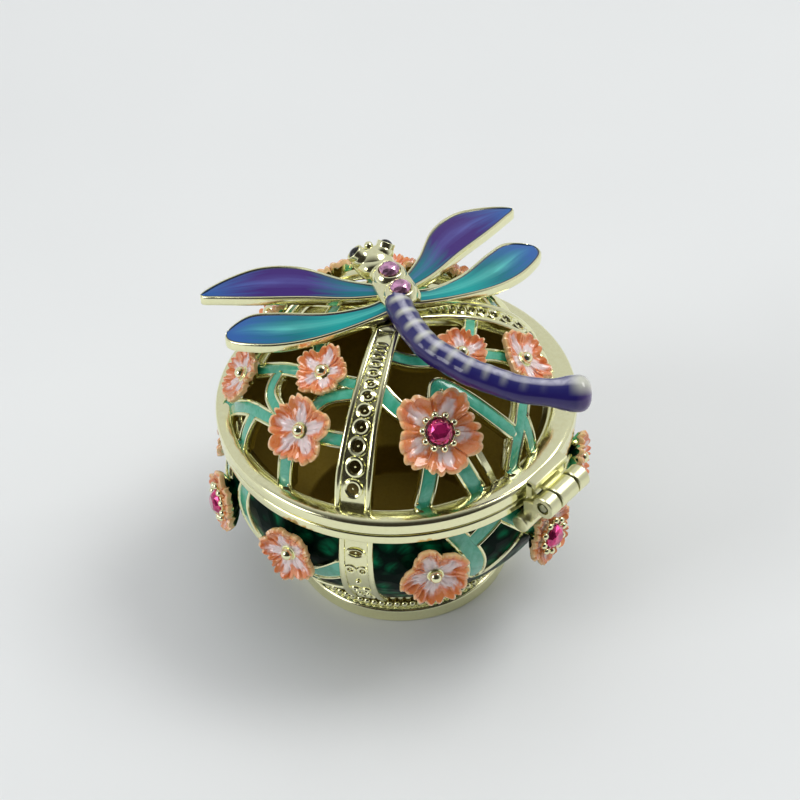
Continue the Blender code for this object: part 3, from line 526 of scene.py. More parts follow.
class Piece:
    """Points and faces of one casting, with a finish for each face and two marks for each point."""

    def __init__(self):
        self.points = []
        self.faces = []
        self.finishes = []
        self.along = []
        self.across = []

    def add(self, points, faces, finish, along=None, across=None):
        """Adds a shape; finish is one name, or one name for each face."""
        start = len(self.points)
        self.points.extend(points)
        self.faces.extend(tuple(start + index for index in face) for face in faces)
        self.finishes.extend([finish] * len(faces) if isinstance(finish, str) else finish)
        self.along.extend(along or [0.0] * len(points))
        self.across.extend(across or [0.0] * len(points))

    def build(self, name, body, nodes, sharp=38.0):
        """Makes the object, welds seams, and hands it to the frame."""
        if not self.faces:
            raise RuntimeError(name + " has no faces")
        mesh = bpy.data.meshes.new(name)
        mesh.from_pydata([tuple(point * MM) for point in self.points], [], self.faces)
        names = list(dict.fromkeys(self.finishes))
        for finish in names:
            mesh.materials.append(finish_material(finish))
        mesh.polygons.foreach_set("material_index", [names.index(finish) for finish in self.finishes])
        for mark, values in (("along", self.along), ("across", self.across)):
            mesh.attributes.new(mark, "FLOAT", "POINT").data.foreach_set("value", values)
        work = bmesh.new()
        work.from_mesh(mesh)
        bmesh.ops.remove_doubles(work, verts=work.verts[:], dist=0.0002 * MM)
        bmesh.ops.dissolve_degenerate(work, edges=work.edges[:], dist=0.0001 * MM)
        bmesh.ops.recalc_face_normals(work, faces=work.faces[:])
        work.to_mesh(mesh)
        work.free()
        mesh.shade_smooth()
        mesh.set_sharp_from_angle(angle=math.radians(sharp))
        shape = bpy.data.objects.new(name, mesh)
        bpy.context.scene.collection.objects.link(shape)
        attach(shape, body)
        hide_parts(*nodes)
        return shape


def skin(rows, columns, wrap_rows=False, wrap_columns=True):
    """Faces over rows of points, each row with as many columns."""
    faces = []
    for row in range(rows if wrap_rows else rows - 1):
        low = row * columns
        high = ((row + 1) % rows) * columns
        for place in range(columns if wrap_columns else columns - 1):
            after = (place + 1) % columns
            faces.append((low + place, low + after, high + after, high + place))
    return faces


def capped_skin(rows, columns):
    """Faces over rows of points, with one face over the first row and one over the last."""
    last = (rows - 1) * columns
    return skin(rows, columns) + [tuple(range(columns)), tuple(range(last, last + columns))]


def oval(frame, radius_x, radius_y, level, steps):
    """Points round an oval that lies level in the frame."""
    turns = [2.0 * math.pi * place / steps for place in range(steps)]
    return [frame @ Vector((radius_x * math.cos(turn), radius_y * math.sin(turn), level)) for turn in turns]


def turned(piece, profile, steps, frame=None, closed=False):
    """A body turned about Z; each profile entry is radius, height, shift and the finish after it."""
    frame = frame or Matrix.Identity(4)
    points = []
    for radius, height, shift, _ in profile:
        points += oval(frame @ Matrix.Translation(HOLE_SHIFT * shift), radius, radius, height, steps)
    rows = len(profile) if closed else len(profile) - 1
    finishes = [entry[3] for entry in profile[:rows] for _ in range(steps)]
    piece.add(points, skin(len(profile), steps, wrap_rows=closed), finishes)


def round_path(pairs, radius, steps=4):
    """The profile's corners rounded off, as radius and height pairs."""
    path = [pairs[0]]
    for before, corner, after in zip(pairs, pairs[1:], pairs[2:]):
        corner = Vector(corner)
        back = Vector(before) - corner
        ahead = Vector(after) - corner
        cut = min(radius, 0.45 * back.length, 0.45 * ahead.length)
        start = corner + back.normalized() * cut
        end = corner + ahead.normalized() * cut
        for step in range(steps + 1):
            t = step / steps
            point = start.lerp(corner, t).lerp(corner.lerp(end, t), t)
            path.append((point.x, point.y))
    path.append(pairs[-1])
    return path


def with_finish(pairs, finish, shift=0.0):
    return [(radius, height, shift, finish) for radius, height in pairs]


class Meeting:
    """Middle lines of the strips on one surface, so that their edges give way where they meet."""

    def __init__(self, place_on, tracks):
        self.samples = []
        for number, (corners, rim, floor) in enumerate(tracks):
            for azimuth, share, width in smooth_path(corners, 20):
                self.samples.append((place_on(azimuth, share)[0], 0.5 * width - rim, floor, number))
        self.tree = KDTree(len(self.samples))
        for index, sample in enumerate(self.samples):
            self.tree.insert(sample[0], index)
        self.tree.balance()

    def lift(self, number, point, lift, edge):
        """The lift of a strip's point, lowered where an earlier strip runs, or for an edge any other."""
        for _, index, distance in self.tree.find_range(point, MEETING_REACH):
            _, reach, floor, other = self.samples[index]
            gives_way = other != number if edge else other < number
            if gives_way and distance < reach + (EDGE_CLEAR if edge else -BED_OVERLAP):
                lift = min(lift, floor)
        return lift


def strip(piece, place_on, corners, outline, steps=8, meeting=None, number=0):
    """A band laid along a surface, with rounded ends; outline gives sides, lifts and finishes."""
    path = smooth_path(corners, steps)
    places = [place_on(azimuth, share) for azimuth, share, _ in path]
    lengths = path_lengths([point for point, _ in places])
    points = []
    along = []
    across = []
    for index, (point, normal) in enumerate(places):
        ahead = places[min(index + 1, len(places) - 1)][0]
        behind = places[max(index - 1, 0)][0]
        forward = (ahead - behind).normalized()
        side_way = normal.cross(forward).normalized()
        width = path[index][2]
        shape = outline(width)
        squeeze = 1.0
        if meeting:
            left = min(lengths[index], lengths[-1] - lengths[index]) / (0.5 * width)
            squeeze = math.sqrt(max(0.02, 1.0 - max(0.0, 1.0 - left) ** 2))
        for side, lift, finish in shape:
            spot = point + side_way * (side * squeeze)
            if meeting and lift > 0.0:
                lift = meeting.lift(number, spot, lift, finish == "gold")
            points.append(spot + normal * lift)
            along.append(lengths[index])
            across.append(2.0 * side / width)
    finishes = []
    for index in range(len(places) - 1):
        near_end = min(lengths[index + 1], lengths[-1] - lengths[index]) < VINE_END
        finishes += [shape[0][2] if near_end else entry[2] for entry in shape]
    finishes += [shape[0][2], shape[0][2]]
    piece.add(points, capped_skin(len(places), len(shape)), finishes, along, across)


def lay_vines(piece, place_on, vines, ribs, low, high, rib_floor):
    """Enamelled vines over a surface, which give way to its ribs and to earlier vines."""
    rim = sizes().vine_edge + 0.04
    tracks = [(corners, RIB_RIM, rib_floor - 0.1) for corners in ribs]
    tracks += [(corners, rim, high - VINE_DIP) for corners in vines]
    meeting = Meeting(place_on, tracks)
    for number, corners in enumerate(vines, len(ribs)):
        strip(piece, place_on, corners, vine_outline(low, high, "turquoise"), 20, meeting, number)


def rounded_rail(outer, width, high, rise, steps):
    """The round top of a rail, as pairs from its outer side inwards."""
    angles = [math.pi * step / steps for step in range(steps + 1)]
    return [(outer - 0.5 * width * (1.0 - math.cos(angle)), high - rise + rise * math.sin(angle))
            for angle in angles]


def gold_sides(side):
    """A gold outline from the pairs of its right side, mirrored to the left."""
    return [(-x, z, "gold") for x, z in side] + [(x, z, "gold") for x, z in reversed(side)]


def vine_outline(low, high, enamel):
    """A gold bed with raised edges round a sunk channel of enamel."""
    edge = sizes().vine_edge
    sink = sizes().enamel_sink

    def outline(width):
        half = 0.5 * width
        side = [(half - LOW_CHAMFER[0], low), (half, low + LOW_CHAMFER[1])]
        side += rounded_rail(half, edge, high, EDGE_ROUND, 4)
        inner = half - edge
        bed = [(-inner + BED_GAP, high - sink, enamel), (-0.5 * inner, high - 0.8 * sink, enamel),
               (0.0, high - 0.7 * sink, enamel), (0.5 * inner, high - 0.8 * sink, enamel),
               (inner - BED_GAP, high - sink, "gold")]
        sides = gold_sides(side)
        return sides[:len(side)] + bed + sides[len(side):]
    return outline


def bar_outline(low, high):
    """A plain gold bar with its upper corners taken off."""
    def outline(width):
        half = 0.5 * width
        return gold_sides([(half, low), (half, high - 0.15), (half - 0.12, high)])
    return outline


def rib_outline(low, high, channel):
    """A flat rib with a rounded rail along each side and a channel between."""
    rail = sizes().rail_width

    def outline(width):
        half = 0.5 * width
        side = [(half - 0.12, low), (half, low + 0.15)]
        side += rounded_rail(half, rail, high, RAIL_RISE, 6)
        side.append((half - rail - 0.02, high - channel))
        return gold_sides(side)
    return outline


def dome(piece, frame, radius_x, radius_y, height, finish, steps=20, rings=7, foot=0.25):
    """A rounded boss: an ellipsoid's upper part on a short foot."""
    points = oval(frame, radius_x, radius_y, -foot, steps)
    for ring in range(rings + 1):
        angle = 0.5 * math.pi * ring / rings
        scale = math.cos(angle)
        points += oval(frame, radius_x * scale, radius_y * scale, height * math.sin(angle), steps)
    faces = skin(rings + 2, steps)
    faces.append(tuple(range(steps)))
    piece.add(points, faces, finish)


def hoop(piece, frame, radius_x, radius_y, tube, finish, steps=24, sides=8):
    """An oval ring lying in the frame's XY plane."""
    points = []
    for corner in range(sides):
        angle = 2.0 * math.pi * corner / sides
        swell = tube * math.cos(angle)
        points += oval(frame, radius_x + swell, radius_y + swell, tube * math.sin(angle), steps)
    piece.add(points, skin(sides, steps, wrap_rows=True), finish)


def ball(piece, frame, radius, finish, steps=20, rings=12):
    points = []
    for ring in range(rings + 1):
        angle = math.pi * ring / rings - 0.5 * math.pi
        girth = radius * math.cos(angle)
        points += oval(frame, girth, girth, radius * math.sin(angle), steps)
    piece.add(points, skin(rings + 1, steps), finish)


# Flowers

PETAL_STEPS = 34
REACH_STEPS = 20
UNDER_STEPS = 5
PETAL_ROOT = 0.45
PETAL_ROLL = 0.30
PETAL_EDGE_DROP = 0.42
PETAL_SPREAD = 0.985


def scallop(u, petal):
    """1 on the crest of a scallop and 0 in the notch between two."""
    drift = 0.10 * math.sin(2.3 * petal) * math.sin(math.pi * u) + 0.03 * math.sin(9.0 * u + 4.0 * petal)
    return abs(math.sin(math.pi * sizes().ruffles * (u + drift))) ** 0.7


def petal_reach(u, petal):
    """Reach of the ruffled edge at u, 0 to 1 across a petal."""
    between = abs(math.cos(math.pi * u)) ** 5
    sway = 0.05 * math.sin(5.0 * petal + 6.0 * u)
    depth = 0.085 + 0.045 * math.sin(7.0 * u + 3.0 * petal)
    return 0.98 - 0.14 * between - depth * (1.0 - scallop(u, petal)) + sway


def petal_lift(u, t, petal):
    """Height of the petal's top over its middle, at share t of the way out."""
    cup = PETAL_CURL * 0.70 * t ** 1.6
    lap = 0.30 * t * (0.5 - u) * ease(2.0 * t)
    tall = 0.42 + 0.14 * math.sin(5.0 * u + 2.0 * petal)
    ruffle = tall * ease((t - 0.38) / 0.45) * (scallop(u, petal) - 0.6)
    crease = -0.16 * ease(2.5 * t) * (1.0 - t) * abs(math.sin(3.0 * math.pi * u + petal)) ** 2
    hollow = -0.20 * math.exp(-((t - 0.66) / 0.13) ** 2)
    rim = 0.16 * math.exp(-((t - 0.90) / 0.06) ** 2)
    return cup + lap + ruffle + crease + hollow + rim


def flower(piece, frame, diameter, lift, seed):
    """Five overlapping two-lobed petals on a stalk, glazed above and gold below."""
    radius = 0.5 * diameter
    columns = PETAL_COUNT * PETAL_STEPS
    rows = [(row / REACH_STEPS, "top") for row in range(REACH_STEPS + 1)]
    rows.append((1.0, "edge"))
    rows += [(row / UNDER_STEPS, "under") for row in range(UNDER_STEPS, -1, -1)]
    points = []
    along = []
    across = []
    for t, side in rows:
        for place in range(columns):
            petal = place // PETAL_STEPS
            u = (place % PETAL_STEPS) / (PETAL_STEPS - 1.0)
            angle = 2.0 * math.pi * (petal + PETAL_SPREAD * u) / PETAL_COUNT
            reach = radius * petal_reach(u, petal + seed)
            rise = petal_lift(u, t, petal + seed)
            roll = PETAL_ROLL * ease((t - 0.88) / 0.12)
            out = reach * t
            if side == "top":
                height = lift + lerp(PETAL_ROOT, PETAL_THICKNESS, ease(1.6 * t)) + rise - roll * 0.6
            elif side == "edge":
                height = lift + PETAL_THICKNESS + rise - PETAL_EDGE_DROP
            else:
                height = lerp(-CAGE_DEPTH, lift + rise - 0.02, t ** 0.8)
                out = reach * 0.97 * t
            points.append(frame @ Vector((out * math.cos(angle), out * math.sin(angle), height)))
            along.append(t)
            across.append(u)
    finishes = ["gold" if side == "under" else "petals" for _, side in rows[:-1] for _ in range(columns)]
    piece.add(points, skin(len(rows), columns), finishes, along, across)


def flower_heart(piece, frame, lift, kind):
    """The gold ball, or the seat and beads that hold a stone."""
    floor = lift + 0.5 * PETAL_THICKNESS
    if kind == "ball":
        radius = sizes().heart_ball
        collar = radius + 0.1
        ball(piece, raised(frame, floor + 0.62 * radius), radius, "gold", 28, 16)
        hoop(piece, raised(frame, floor + 0.12), collar, collar, 0.22, "gold")
        return
    stone_seat(piece, frame, FLOWER_STONE, floor)
    ring = 0.5 * FLOWER_STONE + 0.10 + PRONG_RADIUS
    for place in range(PRONGS):
        turn = Matrix.Rotation(2.0 * math.pi * place / PRONGS, 4, "Z")
        spot = frame @ turn @ Matrix.Translation((ring, 0.0, floor + 1.15))
        ball(piece, spot, PRONG_RADIUS, "gold", 16, 10)


def flower_stone(frame, lift, name, body, node):
    """The magenta stone in a flower, a piece of its own."""
    jewel = Piece()
    stone(jewel, frame, FLOWER_STONE, lift + 0.5 * PETAL_THICKNESS, "magenta stone")
    jewel.build(name, body, [node], 1.0)


def stone_seat(piece, frame, diameter, floor, skirt=0.0):
    """A thin cup of metal round a stone, with a skirt that swells down into the metal below."""
    inner = 0.5 * diameter + SEAT_CLEARANCE
    outer = inner + SEAT_WALL
    top = floor + STONE_GAP + 0.5 * STONE_DEPTH * diameter
    low = floor - 2.0 * SEAT_WALL
    pairs = [(0.0, low), (outer + skirt, low)]
    if skirt:
        pairs += [(outer + skirt, floor + 0.1), (outer + 0.55 * skirt, floor + 0.62 * (top - floor))]
    pairs += [(outer, top), (inner, top), (inner, floor), (0.0, floor)]
    turned(piece, with_finish(round_path(pairs, 0.16 + 0.5 * skirt), "gold"), 40, frame)


def stone(piece, frame, diameter, floor, finish, sides=8):
    """A round brilliant: pavilion, girdle, kite facets and table, every facet flat."""
    radius = 0.5 * diameter
    depth = STONE_DEPTH * diameter
    low = floor + STONE_GAP
    girdle = low + 0.5 * depth
    crown = girdle + 0.1 * depth
    kites = crown + 0.26 * depth
    table = low + depth
    rings = ((0.15 * radius, low + 0.03 * depth, 0.0), (radius, girdle, 0.0), (radius, crown, 0.0),
             (0.80 * radius, kites, 0.5), (0.56 * radius, table, 0.0))
    columns = 2 * sides
    points = []
    for reach, height, offset in rings:
        for place in range(columns):
            step = 2.0 if offset or reach < 0.7 * radius else 1.0
            turn = 2.0 * math.pi * (math.floor(place / step) * step + offset * 2.0) / columns
            points.append(frame @ Vector((reach * math.cos(turn), reach * math.sin(turn), height)))
    faces = []
    for a, b, c, d in skin(len(rings), columns):
        faces += [(a, b, c), (a, c, d)]
    top = (len(rings) - 1) * columns
    faces.append(tuple(range(top, top + columns, 2)))
    faces.append(tuple(range(0, columns, 2)))
    piece.add(points, faces, finish)


# Cup

def cup_shell(piece):
    """The cup's turned body: foot, two waisted steps, bowl under emerald enamel, rim and inside."""
    groove = FOOT_BAND + FOOT_GROOVE
    low = bowl_foot()
    top = shoulder()
    foot = [(0.0, 0.0), (FOOT_RADIUS, 0.0), (FOOT_RADIUS, FOOT_BAND), (WAIST_RADIUS, groove - 0.1)]
    waist = [(WAIST_RADIUS, groove + 0.1), (WAIST_RADIUS, low - 0.1), (BEAD_ROW_RADIUS, low)]
    # the waist behind the beads takes the dark gold that paints the shade of that recess
    profile = with_finish(round_path(foot, 0.3), "gold") + with_finish(waist, "antique gold")
    levels = 36
    for level in range(levels + 1):
        height = low + (top - low) * level / levels
        finish = "emerald" if 0 < level < levels else "gold"
        profile.append((bowl_radius(height), height, 0.0, finish))
    rim = BASE_RIM_RADIUS
    inner_radius = bowl_radius(top) - BOWL_WALL
    outside = [(bowl_radius(top), top), (rim - 0.25, top), (rim, top + 0.2), (rim, SEAM - 0.2),
               (rim - 0.25, SEAM - 0.02), (inner_radius + 0.2, SEAM)]
    profile += with_finish(round_path(outside, 0.14)[1:], "gold")
    inside = [(inner_radius, SEAM - 0.2), (inner_radius, top)]
    for share in (0.84, 0.76, 0.66, 0.56, 0.46, 0.36, 0.26, 0.18, 0.12):
        point, normal = cup_place(0.0, share)
        inside.append((point.x - BOWL_WALL * normal.x, point.z - BOWL_WALL * normal.z))
    waist_inside = WAIST_RADIUS - BOWL_WALL
    inside += [(waist_inside, low + 0.8 * BOWL_WALL), (waist_inside - 0.5 * FLOOR, FLOOR + 0.3),
               (waist_inside - 0.6 * FLOOR, FLOOR), (0.0, FLOOR)]
    # the inside wall and floor take the dark gold that paints the shade inside the cup
    profile += with_finish(round_path(inside, 0.4), "inside gold")
    turned(piece, profile, CUP_STEPS)


def foot_beads(piece):
    """Two rows of beads that sit in the waist above the foot."""
    beads = sizes().foot_beads
    for row in range(BEAD_ROWS):
        for place in range(beads):
            spot = outward(360.0 * (place + 0.5 * row) / beads) * (WAIST_RADIUS + BEAD_STAND)
            spot.z = FOOT_BAND + FOOT_GROOVE + (row + 0.5) * BEAD_ROW_HEIGHT
            ball(piece, Matrix.Translation(spot), BEAD_RADIUS, "gold", 12, 8)


def ring_places(count, first, ratio):
    """Shares down the rib of its rings, which shrink towards the crown, with their spacing."""
    share = first
    places = []
    for _ in range(count):
        places.append((share, share * (1.0 - ratio)))
        share *= ratio
    return places


def lid_rib_track(azimuth):
    return ((azimuth, 0.985, 4.8), (azimuth, 0.75, 4.8), (azimuth, 0.4, 4.1), (azimuth, 0.04, 3.4))


def pit(piece, spot, width, tall, tube, bead):
    """A ring round a hollow painted dark as shade, with a small bead in it."""
    hoop(piece, spot, width, tall, tube, "gold")
    dome(piece, spot, width, tall, 0.03, "antique gold", 24, 2, 0.02)
    ball(piece, spot, bead, "gold", 12, 8)


def lid_rib(piece, azimuth):
    outline = rib_outline(-CAGE_DEPTH, RIB_RAISED, RIB_CHANNEL)
    strip(piece, lid_place, lid_rib_track(azimuth), outline, steps=10)
    for share, spacing in ring_places(sizes().rib_rings, 0.83, 0.862):
        point, normal = lid_place(azimuth, share)
        spot = frame_on(point + normal * (RIB_RAISED - RIB_CHANNEL), normal)
        width = lerp(0.66, 1.04, ease((share - 0.15) / 0.6))
        pit(piece, spot, width, min(1.12, 12.5 * spacing), 0.32, 0.17)


def cup_rib_track(azimuth):
    return [(azimuth, share, CUP_RIB_WIDTH) for share in (0.10, 0.4, 0.75, 1.0)]


def cup_rib(piece, azimuth):
    """A rib with an oval pit at its top, and pairs of pits and domes below."""
    outline = rib_outline(-CUP_SINK, CUP_RIB_RAISED, CUP_RIB_CHANNEL)
    strip(piece, cup_place, cup_rib_track(azimuth), outline, steps=10)
    for share, aside, width, tall, kind in CUP_RIB_BOSSES:
        point, normal = cup_place(azimuth + aside, share)
        spot = frame_on(point + normal * (CUP_RIB_RAISED - CUP_RIB_CHANNEL), normal)
        if kind == "pit":
            pit(piece, spot, width, tall, 0.26, 0.18)
        else:
            dome(piece, spot, width, tall, 0.46, "gold", 18, 6)


# Lid

def lid_ring(piece):
    """The lid's turned ring: seam face, band, sloping top and inner wall."""
    low = SEAM + SEAM_GAP
    top = low + LID_BAND
    outline = [(LID_RADIUS - 0.25, low), (LID_RADIUS, low + 0.2), (LID_RADIUS, top - 0.42),
               (LID_RADIUS - 0.50, top - 0.08), (LID_RADIUS - 1.3, top)]
    hole = DOME_RADIUS - CAGE_DEPTH
    wall = DOME_RADIUS - 0.8
    inside = [(DOME_RADIUS + 0.6, top - 0.02), (DOME_RADIUS + 0.2, top - 0.1),
              (DOME_RADIUS - 0.3, top - 0.6), (wall, top - 0.57 * LID_BAND),
              (hole, top - 0.66 * LID_BAND), (hole, low + 0.2), (wall, low)]
    profile = with_finish(round_path(outline, 0.3, 6), "gold") + with_finish(inside, "gold", 1.0)
    turned(piece, profile, RING_STEPS, closed=True)


def crown_plate(piece):
    crown = DOME_FOOT + DOME_RISE
    low = crown - CAGE_DEPTH - 0.3
    outline = [(0.0, low), (CROWN_RADIUS, low), (CROWN_RADIUS, crown + 0.4), (2.7, crown + RIB_RAISED),
               (0.0, crown + RIB_RAISED)]
    turned(piece, with_finish(round_path(outline, 0.3), "gold"), 64)


# Dragonfly

def superellipse(angle, power):
    x = math.copysign(abs(math.cos(angle)) ** power, math.cos(angle))
    y = math.copysign(abs(math.sin(angle)) ** power, math.sin(angle))
    return x, y


def body_and_head(piece):
    stations = smooth_path(BODY_STATIONS, 7)
    sides = 40
    points = []
    for ahead, left, half_width, low, high in stations:
        middle = 0.5 * (low + high) * THORAX_HEIGHT
        tall = 0.5 * (high - low) * THORAX_HEIGHT
        for corner in range(sides):
            x, y = superellipse(2.0 * math.pi * corner / sides, 0.75)
            points.append(body_point(ahead, left + x * half_width * THORAX_WIDTH, middle + y * tall))
    piece.add(points, capped_skin(len(stations), sides), "gold")


def brow_and_sockets(piece):
    """The small ball between the eyes, a swelling under each eye, and the round head, neck and thorax."""
    ball(piece, Matrix.Translation(body_point(*BROW_BALL)), BROW_BALL_RADIUS, "gold", 24, 14)
    for _, place in eye_frames():
        ball(piece, raised(place, -0.75), 1.45, "gold", 32, 20)
    for ahead, left, height, long, wide, tall in SWELLINGS:
        place = body_frame(ahead, left, height) @ Matrix.Diagonal((long, wide, tall, 1.0))
        ball(piece, place, 1.0, "gold", 48, 28)


def wing_share(step):
    """Share of the wing's length at a step, with the steps closer together near the tip."""
    return math.sin(0.5 * math.pi * step / (WING_STEPS - 1))


def wing_height(left, droop):
    return WING_ROOT + 0.5 * WING_THICKNESS - droop * (left / WING_SPAN) ** 1.3


WING_STEPS = 44
WING_COLUMNS = 12


def wing_edges(outline):
    """The rear and front edges of a wing, each as points from the root to the tip."""
    steps = 12
    path = [Vector(pair) for pair in smooth_path(outline, steps, closed=True)]
    tip = len(outline) // 2 * steps - steps // 2
    last = (len(outline) - 1) * steps
    return even_points(path[:tip + 1]), even_points(path[tip:last + 1][::-1])


def even_points(path):
    """Points along a path that crowd together towards its end."""
    lengths = path_lengths(path)
    reach = 0.996 * lengths[-1]
    return [point_along(path, lengths, reach * wing_share(step))[0] for step in range(WING_STEPS)]


def wing(piece, outline, side, enamel):
    """A thick gold plate whose raised edge surrounds a bed of enamel."""
    rear, front = wing_edges(outline)
    edge = sizes().wing_edge
    top = 0.5 * WING_THICKNESS
    bed = top - sizes().enamel_sink
    # the strip between the gold rim and the enamel is painted dark as shade
    line = edge + 0.24
    levels = ((0.16, -top, "gold"), (0.04, -top + 0.12, "gold"), (0.0, -top + 0.34, "gold"),
              (0.0, top - 0.30, "gold"), (0.05, top - 0.10, "gold"), (0.15, top, "gold"),
              (edge, top - 0.02, "gold"), (edge + 0.06, bed, "wing line"), (line, bed + 0.02, enamel))
    columns = [(inset, 0.0, level, finish) for inset, level, finish in levels]
    for column in range(1, WING_COLUMNS):
        share = column / WING_COLUMNS
        columns.append((line, share, bed + 0.02 + 0.10 * math.sin(math.pi * share), enamel))
    for place in range(len(levels) - 1, -1, -1):
        inset, level, _ = levels[place]
        columns.append((inset, 1.0, level, levels[place - 1][2] if place else "gold"))
    points = []
    along = []
    across = []
    for step, (back, fore) in enumerate(zip(rear, front)):
        width = (fore - back).length
        way = (fore - back) / max(width, 1e-6)
        for inset, share, level, finish in columns:
            inset = min(inset, 0.45 * width)
            spot = (back + way * inset).lerp(fore - way * inset, share)
            ahead, left = spot
            height = wing_height(max(0.0, left), WING_DROOP[side]) + level
            points.append(body_point(ahead, side * left, height))
            along.append(wing_share(step))
            across.append(2.0 * share - 1.0)
    names = [column[3] for _ in range(WING_STEPS - 1) for column in columns] + ["gold", "gold"]
    piece.add(points, capped_skin(WING_STEPS, len(columns)), names, along, across)


def tail_radius(share):
    """Faint swellings for the rings, and a rounded club at the end."""
    phase = (share * sizes().tail_rings) % 1.0
    ridge = 0.5 + 0.5 * math.cos(2.0 * math.pi * (phase - 0.5))
    radius = TAIL_RADIUS * lerp(0.965, 1.0, ridge * (1.0 - ease((share - 0.55) / 0.3)))
    radius = lerp(radius, TAIL_TIP_RADIUS, ease((share - 0.82) / 0.11))
    past = max(0.0, (share - 0.945) / 0.055)
    return radius * math.sqrt(max(0.0, 1.0 - past ** 2.6)) + 0.01


def tail(piece):
    path = smooth_path(TAIL_PATH, 12)
    centres = [body_point(*place) for place in path]
    lengths = path_lengths(centres)
    rows = 220
    sides = 32
    points = []
    along = []
    across = []
    for row in range(rows + 1):
        share = row / rows
        point, forward = point_along(centres, lengths, share * lengths[-1])
        aside = forward.cross(Vector((0.0, 0.0, 1.0))).normalized()
        up = aside.cross(forward)
        radius = tail_radius(share)
        for corner in range(sides):
            angle = 2.0 * math.pi * corner / sides
            points.append(point + (aside * math.cos(angle) + up * math.sin(angle)) * radius)
            along.append(share)
            across.append(math.sin(angle))
    piece.add(points, capped_skin(rows + 1, sides), "tail", along, across)


def point_along(points, lengths, distance):
    for index in range(1, len(points)):
        if lengths[index] >= distance - 1e-9:
            break
    start = points[index - 1]
    end = points[index]
    share = (distance - lengths[index - 1]) / (lengths[index] - lengths[index - 1])
    return start.lerp(end, share), (end - start).normalized()


# Hinge

def along_x(x, y, z):
    return Matrix.Translation((x, y, z)) @ Matrix.Rotation(math.radians(90.0), 4, "Y")


def rod(piece, radius, long, bevel, finish, steps, frame):
    outline = round_path([(0.0, 0.0), (radius, 0.0), (radius, long), (0.0, long)], bevel)
    turned(piece, with_finish(outline, finish), steps, frame)


def knuckle(piece, start, end):
    bore = PIN_RADIUS + FIT_GAP
    long = end - start
    bevel = 0.12
    outline = [(bore, 0.0), (KNUCKLE_RADIUS - bevel, 0.0), (KNUCKLE_RADIUS, bevel),
               (KNUCKLE_RADIUS, long - bevel), (KNUCKLE_RADIUS - bevel, long), (bore, long)]
    turned(piece, with_finish(outline, "hinge gold"), 48, along_x(start, HINGE.y, HINGE.z), closed=True)


def bent_bar(piece, outline, start, end, bevel=0.14):
    """An outline in the Y-Z plane with rounded corners, drawn out along X with softened ends."""
    middle = Vector((sum(y for y, z in outline), sum(z for y, z in outline))) / len(outline)
    soft = round_path(list(outline) + [outline[0], outline[1]], bevel)[1:-1]
    near = ((start, bevel), (start + 0.4 * bevel, 0.3 * bevel), (start + bevel, 0.0))
    far = ((end - bevel, 0.0), (end - 0.4 * bevel, 0.3 * bevel), (end, bevel))
    points = []
    for x, inset in near + far:
        for y, z in soft:
            away = Vector((y, z)) - middle
            if away.length > 1e-6:
                away = away - away.normalized() * inset * 0.6
            points.append(Vector((x, middle.x + away.x, middle.y + away.y)))
    piece.add(points, capped_skin(len(near + far), len(soft)), "hinge gold")


def knuckle_ends():
    half = 0.5 * BARREL
    middle = 0.5 * MIDDLE_KNUCKLE
    return ((-half, -middle - FIT_GAP), (-middle, middle), (middle + FIT_GAP, half))


def lid_leaf(piece):
    """A folded strip: flange on the ring, flat top before the barrel, tongue and middle knuckle."""
    inner = LID_RADIUS + FIT_GAP
    face = inner + LEAF
    low = HINGE.z + KNUCKLE_RADIUS + FIT_GAP
    top = low + LEAF
    outer = HINGE.y - KNUCKLE_RADIUS
    half = 0.5 * LID_LEAF_LENGTH
    foot = SEAM + 3.0 * SEAM_GAP
    bent_bar(piece, ((inner, foot), (face, foot), (face, top - 0.2), (inner, top - 0.2)), -half, half)
    bent_bar(piece, ((inner, low), (outer, low), (outer, top), (inner, top)), -half, half)
    start, end = knuckle_ends()[1]
    reach = HINGE.y - PIN_RADIUS - 1.5 * FIT_GAP
    root = face - 0.5 * LEAF
    lower = HINGE.z + PIN_RADIUS
    upper = HINGE.z + 0.85 * KNUCKLE_RADIUS
    bent_bar(piece, ((root, lower), (reach, lower), (reach, upper), (root, upper)), start, end, 0.05)
    knuckle(piece, start, end)


def base_leaf(piece):
    """A solder bar under the cup's rim, two webs and the outer knuckles."""
    inner = LID_RADIUS + FIT_GAP
    bar_z = shoulder() - FIT_GAP - SOLDER_BAR_RADIUS
    half = 0.5 * SOLDER_BAR_LENGTH
    radius = SOLDER_BAR_RADIUS
    rod(piece, radius, SOLDER_BAR_LENGTH, 0.3, "hinge gold", 40, along_x(-half, inner, bar_z))
    web = ((inner, bar_z), (inner, HINGE.z - 0.5), (HINGE.y - PIN_RADIUS - FIT_GAP - 0.1, HINGE.z - 0.2),
           (HINGE.y - 0.5 * KNUCKLE_RADIUS, HINGE.z - 0.82 * KNUCKLE_RADIUS), (inner + radius - 0.2, bar_z))
    for start, end in (knuckle_ends()[0], knuckle_ends()[2]):
        knuckle(piece, start, end)
        bent_bar(piece, web, start + 0.05, end - 0.05, 0.06)


def hinge_pin(piece):
    rod(piece, PIN_RADIUS, BARREL, 0.15, "pin", 32, along_x(-0.5 * BARREL, HINGE.y, HINGE.z))


# Shader groups

def new_group(name, inputs, outputs):
    """An empty node group with named float inputs and outputs, and its end nodes."""
    group = bpy.data.node_groups.new(name, "ShaderNodeTree")
    for label, default in inputs:
        socket = group.interface.new_socket(label, in_out="INPUT", socket_type="NodeSocketFloat")
        socket.default_value = default
    for label in outputs:
        group.interface.new_socket(label, in_out="OUTPUT", socket_type="NodeSocketFloat")
    start = group.nodes.new("NodeGroupInput")
    end = group.nodes.new("NodeGroupOutput")
    return group, start, end


def add_node(tree, kind, **values):
    node = tree.nodes.new(kind)
    for name, value in values.items():
        setattr(node, name, value)
    return node


def object_place(tree):
    return add_node(tree, "ShaderNodeTexCoord").outputs["Object"]


